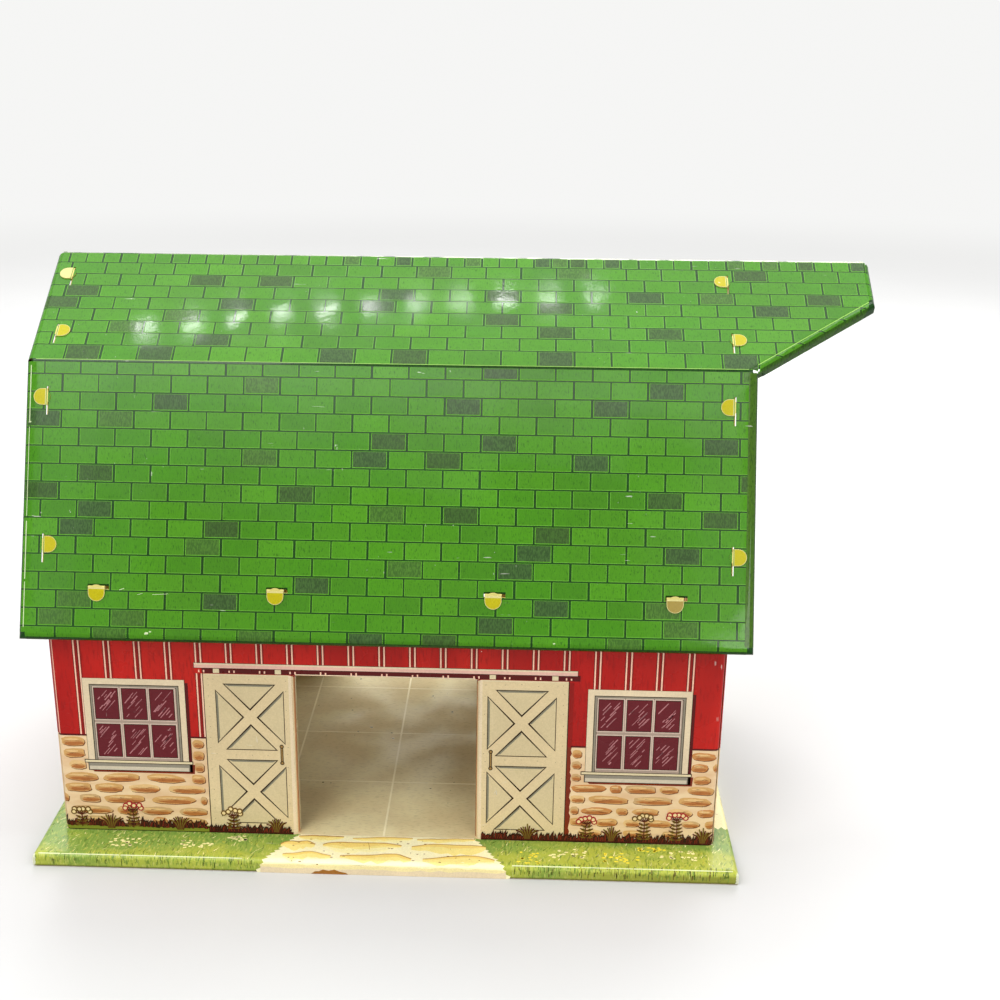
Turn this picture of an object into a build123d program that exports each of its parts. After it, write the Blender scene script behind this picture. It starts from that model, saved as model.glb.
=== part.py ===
from build123d import *
import os
from math import asin, cos, hypot, radians, sin, tan

# Tin toy barn: six sheets of printed tinplate, held together by tabs bent over in slots.
# Millimetres. X runs along the ridge towards the hay hood, Y from the front wall to the
# back wall, Z up. The origin lies under the middle of the whole outline, on the table.

# Sheet metal
TIN = 0.35                # thickness of every sheet
FOLD_RADIUS = 0.9         # inside radius of the folds at the ridge and the creases
ROLL_RADIUS = 2.6         # inside radius of the roof's rolled edges
CORNER_RADIUS = 1.8       # inside radius of the walls' upright corners
JAMB_RADIUS = 2.2         # inside radius of the doorways' turned jambs
RIM_RADIUS = 1.9          # inside radius along the top of the base's rim
HEM_RADIUS = 0.5          # inside radius of the rim's turned-in lower edge
TAB_RADIUS = 0.35         # inside radius of a bent tab

# Walls
WALL_LENGTH = 286.6       # outside of the front wall, corner to corner
WALL_SPACING = 196.0      # outside of the front wall to outside of the back wall
SIDE_FLANGE = 9.0         # how far the long walls turn back round their corners
LAP_GAP = 0.4             # play between a side flange and the end wall outside it
CORNER_GAP = 0.6          # end wall's edge back from the rounded corner
ROOF_SEAT = 0.2           # play between a wall's top edge and the roof

# Doorways and the loft opening
DOORWAY_WIDTH = 78.0      # clear width in the two long walls
END_DOORWAY_WIDTH = 100.0 # clear width in the right end wall
DOORWAY_HEIGHT = 77.4     # clear height above the base
JAMB_DEPTH = 5.5          # how far a jamb is turned inwards
LOFT_WIDTH = 46.0         # hay opening under the hood
LOFT_HEIGHT = 44.0
LOFT_SILL = 148.0         # height of its lower edge above the base
LOFT_ROUNDING = 2.0       # radius of its corners

# Base
FRONT_APRON = 22.25       # base in front of and behind the long walls
END_APRON = 9.2           # base beyond the front wall's corners
RIM_HEIGHT = 6.2          # height of the base
HEM_WIDTH = 5.0           # width of the rim's turned-in lower edge

# Roof
EAVE_HEIGHT = 101.5       # lowest line of the roof's outside, above the table
EAVE_OVERHANG = 8.85      # roof beyond the long walls, level
END_OVERHANG = 10.1       # roof beyond the front wall's corners
UPPER_SLOPE = 69.25       # ridge to crease, along the sheet
UPPER_PITCH = 30.8        # degrees from level
LOWER_PITCH = 66.35       # degrees from level
EDGE_DEPTH = 5.6          # how far the rolled edges hang inwards
HOOD_REACH = 53.2         # hood's tip beyond the roof's right end
HOOD_NOSE = 27.1          # length of the hood's square end, down the slope
NOTCH_WIDTH = 0.9         # relief notch where two rolled edges meet at a fold
NOTCH_REACH = 2.4         # how far a notch cuts in from the roof's end
EDGE_TAPER = 7.0          # length over which a lower slope's rolled edge grows from the crease

# Tabs and slots
TAB_WIDTH = 7.0
TAB_LENGTH = 5.8          # from the sheet that it grows out of to its round tip
TAB_ROOT = 3.0            # how far a tab's shank runs into its own sheet
TAB_LIFT = 0.15           # play between a bent tab and the sheet under it
EAVE_TAB_RISE = 0.45      # middle of an eave tab's fold above the roof's outside
SLOT_PLAY = 0.3           # play on each side of a tab's thickness
ROOF_SLOT = 12.0          # slots over the end walls, along the slope
ROOF_SLOT_SHIFT = 1.6     # their middle lies this far down the slope from the tab's
EAVE_SLOT = 9.0           # slots over the long walls
EAVE_SLOT_SHIFT = 0.6     # their middle lies this far along the wall from the tab's
FOOT_SLOT = 8.5           # slots in the base
TAB_TO_RIDGE = 15.0       # upper slope's first tab, from the ridge
TAB_ABOVE_CREASE = 17.3   # upper slope's second tab, from the crease
TAB_BELOW_CREASE = 16.0   # lower slope's first tab, from the crease
TAB_TO_EAVE = 39.9        # lower slope's second tab, from the eave
OUTER_EAVE_TAB = 22.8     # long wall's outer tabs, from its corners
INNER_EAVE_TAB = 45.4     # long wall's inner tabs, from its middle
CORNER_FOOT_TAB = 23.0    # foot tabs, from the corners
DOOR_FOOT_TAB = 17.0      # foot tabs, from the doorway
END_FOOT_TAB = 20.0       # end walls' foot tabs, from their edges

# Sizes that follow from those above
HALF_LENGTH = WALL_LENGTH / 2
HALF_SPACING = WALL_SPACING / 2
END_FACE = HALF_LENGTH + LAP_GAP + TIN
END_HALF_WIDTH = HALF_SPACING - CORNER_RADIUS - TIN - CORNER_GAP
BASE_HALF_LENGTH = HALF_LENGTH + END_APRON
BASE_HALF_DEPTH = HALF_SPACING + FRONT_APRON
DOORWAY_TOP = RIM_HEIGHT + DOORWAY_HEIGHT
ROOF_END = HALF_LENGTH + END_OVERHANG
HOOD_TIP = ROOF_END + HOOD_REACH
EAVE_HALF = HALF_SPACING + EAVE_OVERHANG
CREASE_HALF = UPPER_SLOPE * cos(radians(UPPER_PITCH))
CREASE_HEIGHT = EAVE_HEIGHT + (EAVE_HALF - CREASE_HALF) * tan(radians(LOWER_PITCH))
RIDGE_HEIGHT = CREASE_HEIGHT + UPPER_SLOPE * sin(radians(UPPER_PITCH))
LOWER_SLOPE = hypot(EAVE_HALF - CREASE_HALF, CREASE_HEIGHT - EAVE_HEIGHT)
BACK_EAVE = (EAVE_HALF, EAVE_HEIGHT)
BACK_CREASE = (CREASE_HALF, CREASE_HEIGHT)
RIDGE = (0, RIDGE_HEIGHT)
FRONT_CREASE = (-CREASE_HALF, CREASE_HEIGHT)
FRONT_EAVE = (-EAVE_HALF, EAVE_HEIGHT)
END_MIDDLE = END_FACE - TIN / 2
LONG_MIDDLE = HALF_SPACING - TIN / 2
ORIGIN_SHIFT = (HOOD_TIP - max(BASE_HALF_LENGTH, ROOF_END)) / 2

# How far a rolled edge's strip reaches in over the flat, and a fold's strip each way
STRIP_MARGIN = 1.0
ROLL_STRIP = ROLL_RADIUS + TIN + STRIP_MARGIN
RIM_STRIP = RIM_RADIUS + TIN + STRIP_MARGIN
FOLD_LEG = (FOLD_RADIUS + TIN) * tan(radians(UPPER_PITCH)) + STRIP_MARGIN

# The roof's two front slopes seen square on: X along the barn, Y up the slope,
# zero at the slope's upper fold
UPPER_PLANE = Plane(
    origin=(0, 0, RIDGE_HEIGHT),
    x_dir=(1, 0, 0),
    z_dir=(0, -sin(radians(UPPER_PITCH)), cos(radians(UPPER_PITCH))),
)
LOWER_PLANE = Plane(
    origin=(0, -CREASE_HALF, CREASE_HEIGHT),
    x_dir=(1, 0, 0),
    z_dir=(0, -sin(radians(LOWER_PITCH)), cos(radians(LOWER_PITCH))),
)
BASE_PLANE = Plane.XY.offset(RIM_HEIGHT)
CLEAR = 1.0               # how far a cutting tool runs past what it cuts

# Where the tabs stand: along the slopes from their upper folds, and along the walls
UPPER_TABS = (TAB_TO_RIDGE, UPPER_SLOPE - TAB_ABOVE_CREASE)
LOWER_TABS = (TAB_BELOW_CREASE, LOWER_SLOPE - TAB_TO_EAVE)
EAVE_TABS = (HALF_LENGTH - OUTER_EAVE_TAB, INNER_EAVE_TAB)
LONG_FOOT_TABS = (HALF_LENGTH - CORNER_FOOT_TAB, DOORWAY_WIDTH / 2 + DOOR_FOOT_TAB)
END_FOOT_TABS = END_HALF_WIDTH - END_FOOT_TAB


def offset_lines(points, distances, closed):
    """Corners of the lines through the points, each moved to its left by its distance."""
    count = len(points)
    runs = count if closed else count - 1
    lines = []
    for i in range(runs):
        (ax, ay), (bx, by) = points[i], points[(i + 1) % count]
        length = hypot(bx - ax, by - ay)
        ux, uy = (bx - ax) / length, (by - ay) / length
        moved = (ax - uy * distances[i], ay + ux * distances[i])
        lines.append((moved, (ux, uy), length))

    def crossing(first, second):
        (px, py), (ux, uy), _ = first
        (qx, qy), (vx, vy), _ = second
        along = ((qx - px) * vy - (qy - py) * vx) / (ux * vy - uy * vx)
        return (px + ux * along, py + uy * along)

    if closed:
        return [crossing(lines[i - 1], lines[i]) for i in range(count)]
    start = lines[0][0]
    (ex, ey), (ux, uy), length = lines[-1]
    corners = [crossing(lines[i - 1], lines[i]) for i in range(1, runs)]
    return [start] + corners + [(ex + ux * length, ey + uy * length)]


def bent_line(points, radii):
    """The points joined by straight runs and tangent arcs."""
    if len(points) == 2:
        return Polyline(*points)
    return FilletPolyline(*points, radius=radii)


def sheet_section(points, inside_radii=()):
    """Section of a bent sheet: the points follow its outside, the tin lies on their left."""
    inner = offset_lines(points, [TIN] * (len(points) - 1), closed=False)
    outside = bent_line(points, [radius + TIN for radius in inside_radii])
    inside = bent_line(inner, list(inside_radii))
    ends = [Line(points[0], inner[0]), Line(points[-1], inner[-1])]
    return make_face(outside.edges() + inside.edges() + ends)


def upright(section, bottom, top):
    """A plan section raised from one height to another."""
    return extrude(Pos(0, 0, bottom) * section, amount=top - bottom)


def lengthwise(section, start, end):
    """A cross section of the barn drawn in Y and Z, run along X."""
    return extrude(Plane.YZ.offset(start) * section, amount=end - start)


def fused(pieces):
    """One solid from pieces that touch or overlap."""
    whole = pieces[0]
    for piece in pieces[1:]:
        whole += piece
    return whole


def both_sides(solid):
    """The solid together with its mirror image across the ridge."""
    return solid + mirror(solid, about=Plane.XZ)


# Panels with rolled edges
def rolled_panel(plane, outline, rolled, section, edge_strip, fold_leg):
    """Flat sheet with some of its edges rolled down and mitred where two of them meet.

    The outline runs anticlockwise. A rolled edge has the given section, a plain one stops
    short by fold_leg, where the strip of a fold joins on."""
    flat_insets = [edge_strip if edge else fold_leg for edge in rolled]
    flat = offset_lines(outline, flat_insets, closed=True)
    strips = offset_lines(outline, [edge_strip if edge else 0 for edge in rolled], closed=True)
    pieces = [extrude(plane * make_face(Polyline(*flat, close=True)), amount=-TIN)]
    for i, edge in enumerate(rolled):
        if edge:
            pieces.append(rolled_edge(plane, outline, strips, i, section))
    return fused(pieces)


def rolled_edge(plane, outline, strips, i, section):
    """The rolled strip along the outline's edge i, trimmed to its mitres."""
    j = (i + 1) % len(outline)
    start, end = Vector(*outline[i]), Vector(*outline[j])
    run = (end - start).normalized()
    across = Vector(run.Y, -run.X)
    beyond = section.bounding_box().size.length
    section_plane = Plane(
        origin=plane.from_local_coords(start - run * beyond),
        x_dir=plane.from_local_coords(across) - plane.origin,
        z_dir=plane.from_local_coords(run) - plane.origin,
    )
    strip = extrude(section_plane * section, amount=(end - start).length + 2 * beyond)
    # The mitre lines run through the outline's corners, from well inside to well outside
    start_mitre, end_mitre = Vector(*strips[i]) - start, Vector(*strips[j]) - end
    footprint = Polyline(
        start + start_mitre * 2,
        start - start_mitre,
        end - end_mitre,
        end + end_mitre * 2,
        close=True,
    )
    trimming = extrude(plane.offset(CLEAR) * make_face(footprint), amount=-2 * beyond)
    return strip & trimming


# Tabs
def tab_leaf(plane, length):
    """Flat end of a tab with a half-round tip: X along it from its fold, Z out of its face."""
    straight = length - TAB_WIDTH / 2
    face = Pos(straight / 2, 0) * Rectangle(straight, TAB_WIDTH)
    face += Pos(straight, 0) * Circle(TAB_WIDTH / 2)
    return extrude(plane * face, amount=-TIN)


def square_tab(foot, out, leaf, root):
    """Tab bent square over the sheet that it passes.

    foot is where the tab's mid-thickness meets that sheet's far face, out the way it leaves
    through the slot, leaf the way it is bent, and root how far it reaches back."""
    plane = Plane(origin=foot, x_dir=-leaf, z_dir=(-leaf).cross(out))
    top = TAB_LIFT + TIN
    fold = TAB_RADIUS + TIN
    path = [(TIN / 2, -root), (TIN / 2, top), (TIN / 2 - fold - TIN, top)]
    bend = extrude(plane * sheet_section(path, [TAB_RADIUS]), amount=TAB_WIDTH / 2, both=True)
    leaf_start = foot + out * top + leaf * (fold - TIN / 2)
    leaf_plane = Plane(origin=leaf_start, x_dir=leaf, z_dir=out)
    return bend + tab_leaf(leaf_plane, TAB_LENGTH - fold + TIN / 2)


def roof_outside(y):
    """Height of a lower slope's outside over a line at y."""
    return CREASE_HEIGHT - (abs(y) - CREASE_HALF) * tan(radians(LOWER_PITCH))


def eave_tab(x):
    """Front wall's tab: up through the lower slope and folded back down along it."""
    slope = radians(LOWER_PITCH)
    back = -HALF_SPACING + TIN
    fold = TAB_RADIUS + TIN
    # The leaf leans in from its fold until its tip lies close to the roof
    lean = asin((EAVE_TAB_RISE + TAB_RADIUS - TAB_LIFT) / TAB_LENGTH)
    down = Vector(-cos(slope + lean), -sin(slope + lean))
    out = Vector(down.Y, -down.X)
    middle_y = back - fold
    middle = Vector(middle_y, roof_outside(middle_y) + EAVE_TAB_RISE / cos(slope))
    root = roof_outside(back) - (TIN + ROOF_SEAT) / cos(slope) - TAB_ROOT

    def face_line(y, radius):
        """One face of the shank, the fold and the start of the leaf."""
        turn = Vector(y, middle.Y)
        leaf = middle + out * radius
        return [
            Line((y, root), turn),
            TangentArc(turn, leaf, tangent=(0, 1)),
            Line(leaf, leaf + down * TIN),
        ]

    outside = face_line(back, fold)
    inside = face_line(back - TIN, TAB_RADIUS)
    ends = [Line(outside[0] @ 0, inside[0] @ 0), Line(outside[-1] @ 1, inside[-1] @ 1)]
    section = make_face(outside + inside + ends)
    bend = lengthwise(section, x - TAB_WIDTH / 2, x + TAB_WIDTH / 2)
    leaf_start = middle + out * fold
    leaf_plane = Plane(
        origin=(x, leaf_start.X, leaf_start.Y),
        x_dir=(0, down.X, down.Y),
        z_dir=(0, out.X, out.Y),
    )
    return bend + tab_leaf(leaf_plane, TAB_LENGTH)


def end_tabs(x):
    """An end wall's eight tabs over the four slopes: the upper one of each pair is bent
    to the left, the lower one to the right."""
    root = TIN + ROOF_SEAT + TAB_ROOT
    tabs = []
    for plane, places in ((UPPER_PLANE, UPPER_TABS), (LOWER_PLANE, LOWER_TABS)):
        for down_slope, leaf in zip(places, (Vector(-1, 0, 0), Vector(1, 0, 0))):
            foot = plane.from_local_coords(Vector(x, -down_slope, 0))
            tabs.append(square_tab(foot, plane.z_dir, leaf, root))
    return both_sides(fused(tabs))


def foot_tab(x, y, leaf):
    """Tab through the base, bent over underneath."""
    foot = Vector(x, y, RIM_HEIGHT - TIN)
    return square_tab(foot, Vector(0, 0, -1), leaf, TIN + TAB_ROOT)


# Walls
def under_roof():
    """The room that the walls may fill: everything below the roof's seat."""
    outside = [BACK_EAVE, BACK_CREASE, RIDGE, FRONT_CREASE, FRONT_EAVE]
    seat = offset_lines(outside, [TIN + ROOF_SEAT] * 4, closed=False)
    corners = seat + [(seat[-1][0], -CLEAR), (seat[0][0], -CLEAR)]
    return lengthwise(make_face(Polyline(*corners, close=True)), -HOOD_TIP, HOOD_TIP)


def shoulder_cut(jamb, side):
    """What is cut from the upper end of a jamb to round its shoulder; side points into the
    doorway, and the cut lies on the XZ plane, running in along Y."""
    radius = JAMB_RADIUS + TIN
    middle = Pos(jamb - side * radius / 2, JAMB_DEPTH / 2, DOORWAY_TOP - radius / 2)
    block = middle * Box(radius, JAMB_DEPTH + 2 * CLEAR, radius)
    round_middle = Pos(jamb - side * radius, JAMB_DEPTH / 2, DOORWAY_TOP - radius)
    rounding = Cylinder(radius, JAMB_DEPTH + 4 * CLEAR, rotation=(90, 0, 0))
    return block - round_middle * rounding


def front_wall():
    """Long wall: side flanges round both corners, a doorway with turned jambs, four tabs
    through the roof and four through the base."""
    face = -HALF_SPACING
    jamb = DOORWAY_WIDTH / 2
    left = [(-HALF_LENGTH, face + SIDE_FLANGE), (-HALF_LENGTH, face)]
    right = [(HALF_LENGTH, face), (HALF_LENGTH, face + SIDE_FLANGE)]
    left_jamb = [(-jamb, face), (-jamb, face + JAMB_DEPTH)]
    right_jamb = [(jamb, face + JAMB_DEPTH), (jamb, face)]
    beside_left = sheet_section(left + left_jamb, [CORNER_RADIUS, JAMB_RADIUS])
    beside_right = sheet_section(right_jamb + right, [JAMB_RADIUS, CORNER_RADIUS])
    above = sheet_section(left + right, [CORNER_RADIUS, CORNER_RADIUS])
    wall = upright(beside_left, RIM_HEIGHT, DOORWAY_TOP)
    wall += upright(beside_right, RIM_HEIGHT, DOORWAY_TOP)
    wall += upright(above, DOORWAY_TOP, RIDGE_HEIGHT) & under_roof()
    for side in (-1, 1):
        wall -= Pos(0, face, 0) * shoulder_cut(side * jamb, -side)
        for x in EAVE_TABS:
            wall += eave_tab(side * x)
        for x in LONG_FOOT_TABS:
            wall += foot_tab(side * x, -LONG_MIDDLE, Vector(0, 1, 0))
    return wall


def left_end_wall():
    """Gable end with no opening."""
    section = sheet_section([(-END_FACE, END_HALF_WIDTH), (-END_FACE, -END_HALF_WIDTH)])
    wall = upright(section, RIM_HEIGHT, RIDGE_HEIGHT) & under_roof()
    wall += end_tabs(-END_MIDDLE)
    for y in (-END_FOOT_TABS, 0, END_FOOT_TABS):
        wall += foot_tab(-END_MIDDLE, y, Vector(1, 0, 0))
    return wall


def right_end_wall():
    """Gable end under the hood, with a doorway and the loft opening."""
    jamb = END_DOORWAY_WIDTH / 2
    front = [(END_FACE, -END_HALF_WIDTH), (END_FACE, -jamb), (END_FACE - JAMB_DEPTH, -jamb)]
    back = [(END_FACE - JAMB_DEPTH, jamb), (END_FACE, jamb), (END_FACE, END_HALF_WIDTH)]
    above = sheet_section([front[0], back[-1]])
    wall = upright(sheet_section(front, [JAMB_RADIUS]), RIM_HEIGHT, DOORWAY_TOP)
    wall += upright(sheet_section(back, [JAMB_RADIUS]), RIM_HEIGHT, DOORWAY_TOP)
    wall += upright(above, DOORWAY_TOP, RIDGE_HEIGHT) & under_roof()
    for side in (-1, 1):
        wall -= Pos(END_FACE, 0, 0) * Rot(0, 0, 90) * shoulder_cut(side * jamb, -side)
    loft_middle = RIM_HEIGHT + LOFT_SILL + LOFT_HEIGHT / 2
    loft = Pos(0, loft_middle) * RectangleRounded(LOFT_WIDTH, LOFT_HEIGHT, LOFT_ROUNDING)
    wall -= lengthwise(loft, END_FACE - TIN - CLEAR, END_FACE + CLEAR)
    wall += end_tabs(END_MIDDLE)
    for y in (-END_FOOT_TABS, END_FOOT_TABS):
        wall += foot_tab(END_MIDDLE, y, Vector(-1, 0, 0))
    return wall


# Base
def base_plate():
    """Grass plate: rim bent down on four sides, its lower edge turned in, slots for tabs."""
    x, y = BASE_HALF_LENGTH, BASE_HALF_DEPTH
    outline = [(-x, -y), (x, -y), (x, y), (-x, y)]
    rim_path = [(-RIM_STRIP, 0), (0, 0), (0, RIM_HEIGHT), (-HEM_WIDTH, RIM_HEIGHT)]
    rim = sheet_section(rim_path, [RIM_RADIUS, HEM_RADIUS])
    plate = rolled_panel(BASE_PLANE, outline, [True] * 4, rim, RIM_STRIP, 0)
    slot_width = TIN + 2 * SLOT_PLAY
    long_slot = Box(FOOT_SLOT, slot_width, 2 * RIM_HEIGHT)
    end_slot = Box(slot_width, FOOT_SLOT, 2 * RIM_HEIGHT)
    for x_side in (-1, 1):
        for y_side in (-1, 1):
            for x in LONG_FOOT_TABS:
                plate -= Pos(x_side * x, y_side * LONG_MIDDLE, RIM_HEIGHT) * long_slot
            plate -= Pos(x_side * END_MIDDLE, y_side * END_FOOT_TABS, RIM_HEIGHT) * end_slot
    return plate - Pos(-END_MIDDLE, 0, RIM_HEIGHT) * end_slot


# Roof
def towards(start, end, distance):
    """The point at a distance from one point towards another."""
    length = hypot(end[0] - start[0], end[1] - start[1])
    share = distance / length
    return (start[0] + (end[0] - start[0]) * share, start[1] + (end[1] - start[1]) * share)


def fold_strip(before, fold, after, start, end):
    """Strip of sheet on both sides of a fold, run along the barn."""
    path = [towards(fold, before, FOLD_LEG), fold, towards(fold, after, FOLD_LEG)]
    return lengthwise(sheet_section(path, [FOLD_RADIUS]), start, end)


def relief(fold, pitch, half_turn, taper, x):
    """Wedge cut from the rolled edges at the end of a fold, about the line that halves it.

    On the lower side it opens out over the taper's length."""
    out = Vector(-sin(radians(pitch)), cos(radians(pitch)))
    down = Vector(-out.Y, out.X)
    middle = Vector(*fold)
    depth = EDGE_DEPTH + CLEAR
    upper_reach = NOTCH_WIDTH / 2 + depth * tan(radians(half_turn))
    corners = [
        middle + out * CLEAR - down * (NOTCH_WIDTH / 2),
        middle + out * CLEAR + down * (NOTCH_WIDTH / 2),
        middle - out * depth + down * max(taper, upper_reach),
        middle - out * depth - down * upper_reach,
    ]
    wedge = make_face(Polyline(*corners, close=True))
    return lengthwise(wedge, x - NOTCH_REACH, x + NOTCH_REACH)


def roof_slots():
    """Everything that is cut out of the front half of the roof for tabs."""
    cuts = []
    slot = Box(TIN + 2 * SLOT_PLAY, ROOF_SLOT, 2 * EDGE_DEPTH)
    for plane, places in ((UPPER_PLANE, UPPER_TABS), (LOWER_PLANE, LOWER_TABS)):
        for down_slope in places:
            for x in (-END_MIDDLE, END_MIDDLE):
                cuts.append(plane * Pos(x, -down_slope - ROOF_SLOT_SHIFT, 0) * slot)
    eave_slot = Box(EAVE_SLOT, TIN + 2 * SLOT_PLAY, 2 * EDGE_DEPTH)
    for side in (-1, 1):
        for x in EAVE_TABS:
            place = Pos(side * x + EAVE_SLOT_SHIFT, -LONG_MIDDLE, roof_outside(LONG_MIDDLE))
            cuts.append(place * eave_slot)
    return cuts


def roof():
    """One sheet: two slopes on each side, rolled edges all round, the hay hood on the right."""
    edge_path = [(-ROLL_STRIP, 0), (0, 0), (0, EDGE_DEPTH)]
    edge = sheet_section(edge_path, [ROLL_RADIUS])
    upper_outline = [
        (-ROOF_END, -UPPER_SLOPE),
        (ROOF_END, -UPPER_SLOPE),
        (HOOD_TIP, -HOOD_NOSE),
        (HOOD_TIP, 0),
        (-ROOF_END, 0),
    ]
    upper_rolled = [False, True, True, False, True]
    lower_outline = [
        (-ROOF_END, -LOWER_SLOPE),
        (ROOF_END, -LOWER_SLOPE),
        (ROOF_END, 0),
        (-ROOF_END, 0),
    ]
    lower_rolled = [True, True, False, True]
    left, right = ROLL_STRIP - ROOF_END, ROOF_END - ROLL_STRIP
    half = rolled_panel(UPPER_PLANE, upper_outline, upper_rolled, edge, ROLL_STRIP, FOLD_LEG)
    half += rolled_panel(LOWER_PLANE, lower_outline, lower_rolled, edge, ROLL_STRIP, FOLD_LEG)
    half += fold_strip(RIDGE, FRONT_CREASE, FRONT_EAVE, left, right)
    crease_pitch = (UPPER_PITCH + LOWER_PITCH) / 2
    crease_half_turn = (LOWER_PITCH - UPPER_PITCH) / 2
    for x in (-ROOF_END, ROOF_END):
        half -= relief(FRONT_CREASE, crease_pitch, crease_half_turn, EDGE_TAPER, x)
    for cut in roof_slots():
        half -= cut
    whole = both_sides(half)
    whole += fold_strip(BACK_CREASE, RIDGE, FRONT_CREASE, left, HOOD_TIP - ROLL_STRIP)
    for x in (-ROOF_END, HOOD_TIP):
        whole -= relief(RIDGE, 0, UPPER_PITCH, 0, x)
    return whole


def build():
    """Write every sheet to its own file."""
    front = front_wall()
    sheets = {
        "base_plate": base_plate(),
        "front_wall": front,
        "back_wall": mirror(front, about=Plane.XZ),
        "left_end_wall": left_end_wall(),
        "right_end_wall": right_end_wall(),
        "roof": roof(),
    }
    os.makedirs("parts", exist_ok=True)
    for name, sheet in sheets.items():
        export_step(Pos(-ORIGIN_SHIFT, 0, 0) * sheet, f"parts/{name}.step")
        print(name, "solids", len(sheet.solids()), "volume", round(sheet.volume, 1))


build()
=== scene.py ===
import bpy
import random
from collections import namedtuple
from math import asin, cos, hypot, pi, radians, sin, tan
from mathutils import Matrix, Vector


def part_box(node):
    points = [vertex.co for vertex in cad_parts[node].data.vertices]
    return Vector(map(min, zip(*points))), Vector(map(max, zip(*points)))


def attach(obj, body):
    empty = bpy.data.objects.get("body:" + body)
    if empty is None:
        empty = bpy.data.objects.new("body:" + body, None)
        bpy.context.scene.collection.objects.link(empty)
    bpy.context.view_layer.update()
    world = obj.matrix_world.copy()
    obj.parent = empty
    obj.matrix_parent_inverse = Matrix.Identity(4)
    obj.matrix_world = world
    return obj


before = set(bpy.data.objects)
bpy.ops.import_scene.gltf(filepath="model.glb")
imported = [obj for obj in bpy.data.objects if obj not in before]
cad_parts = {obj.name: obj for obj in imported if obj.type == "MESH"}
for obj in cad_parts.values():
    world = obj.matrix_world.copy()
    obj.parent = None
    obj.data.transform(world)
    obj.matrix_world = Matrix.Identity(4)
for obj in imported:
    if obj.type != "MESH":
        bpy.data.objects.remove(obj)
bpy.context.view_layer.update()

# Tin toy barn: printed tinplate sheets. Everything is drawn in millimetres about the middle
# of the base, X along the ridge, Y from the front wall to the back wall, Z up, and is turned
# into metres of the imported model's frame as it becomes a mesh. The print is thin ink films.
MM = 0.001
BASE_LOW, BASE_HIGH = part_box("base_plate")
ROOF_LOW, ROOF_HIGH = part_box("roof")
CENTRE = Vector(((BASE_LOW.x + BASE_HIGH.x) / 2, 0, 0))

# Sheet sizes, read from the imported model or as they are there
TIN = 0.35
RIM_HEIGHT = BASE_HIGH.z / MM
BASE_HALF_LENGTH = (BASE_HIGH.x - CENTRE.x) / MM
BASE_HALF_DEPTH = BASE_HIGH.y / MM
RIM_BEND = 2.25           # outside radius along the rim
HALF_LENGTH = 143.3       # long walls' corners
HALF_SPACING = 98.0       # long walls' outer faces
WALL_BEND = 2.15          # outside radius of the walls' corners
SIDE_FLANGE = 9.0
DOORWAY_HALF = 39.0
END_DOORWAY_HALF = 50.0
DOORWAY_TOP = 83.6
JAMB_BEND = 2.55
JAMB_DEPTH = 5.5
END_FACE = 144.05
END_HALF_WIDTH = 95.25
LOFT_HALF = 23.0
LOFT_SILL = 154.2
LOFT_TOP = 198.2
ROOF_END = (CENTRE.x - ROOF_LOW.x) / MM
HOOD_TIP = (ROOF_HIGH.x - CENTRE.x) / MM
HOOD_NOSE = 27.1
UPPER_SLOPE = 69.25
UPPER_PITCH = radians(30.8)
LOWER_PITCH = radians(66.35)
EAVE_HEIGHT = 101.5
EAVE_HALF = 106.85
FOLD_BEND = 1.25
ROLL_BEND = 2.95          # outside radius of the roof's rolled edges
EDGE_DEPTH = 5.6
CREASE_HALF = UPPER_SLOPE * cos(UPPER_PITCH)
CREASE_HEIGHT = EAVE_HEIGHT + (EAVE_HALF - CREASE_HALF) * tan(LOWER_PITCH)
RIDGE_HEIGHT = CREASE_HEIGHT + UPPER_SLOPE * sin(UPPER_PITCH)
LOWER_SLOPE = hypot(EAVE_HALF - CREASE_HALF, CREASE_HEIGHT - EAVE_HEIGHT)
EAVE = UPPER_SLOPE + LOWER_SLOPE
TAB_WIDTH = 7.0
TAB_LENGTH = 5.8
TAB_LIFT = 0.15
TAB_RADIUS = 0.35
EAVE_TAB_RISE = 0.45
TAB_PLACES = (15.0, UPPER_SLOPE - 17.3, UPPER_SLOPE + 16.0, EAVE - 39.9)
EAVE_TABS = (-120.5, -45.4, 45.4, 120.5)

# Ink films
INK_STEP = 0.02           # height of one layer of ink above the layer below
INK_SINK = 0.02           # how far a film's underside lies in the sheet
ARC_STEPS = 6             # flat steps round a quarter bend
SMOOTH_ANGLE = radians(30)


# Colours, written as they look on screen
def screen(red, green, blue):
    """Linear colour of a screen colour from 0 to 255."""
    def linear(value):
        share = value / 255
        return share / 12.92 if share <= 0.04045 else ((share + 0.055) / 1.055) ** 2.4
    return (linear(red), linear(green), linear(blue), 1.0)


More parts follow.
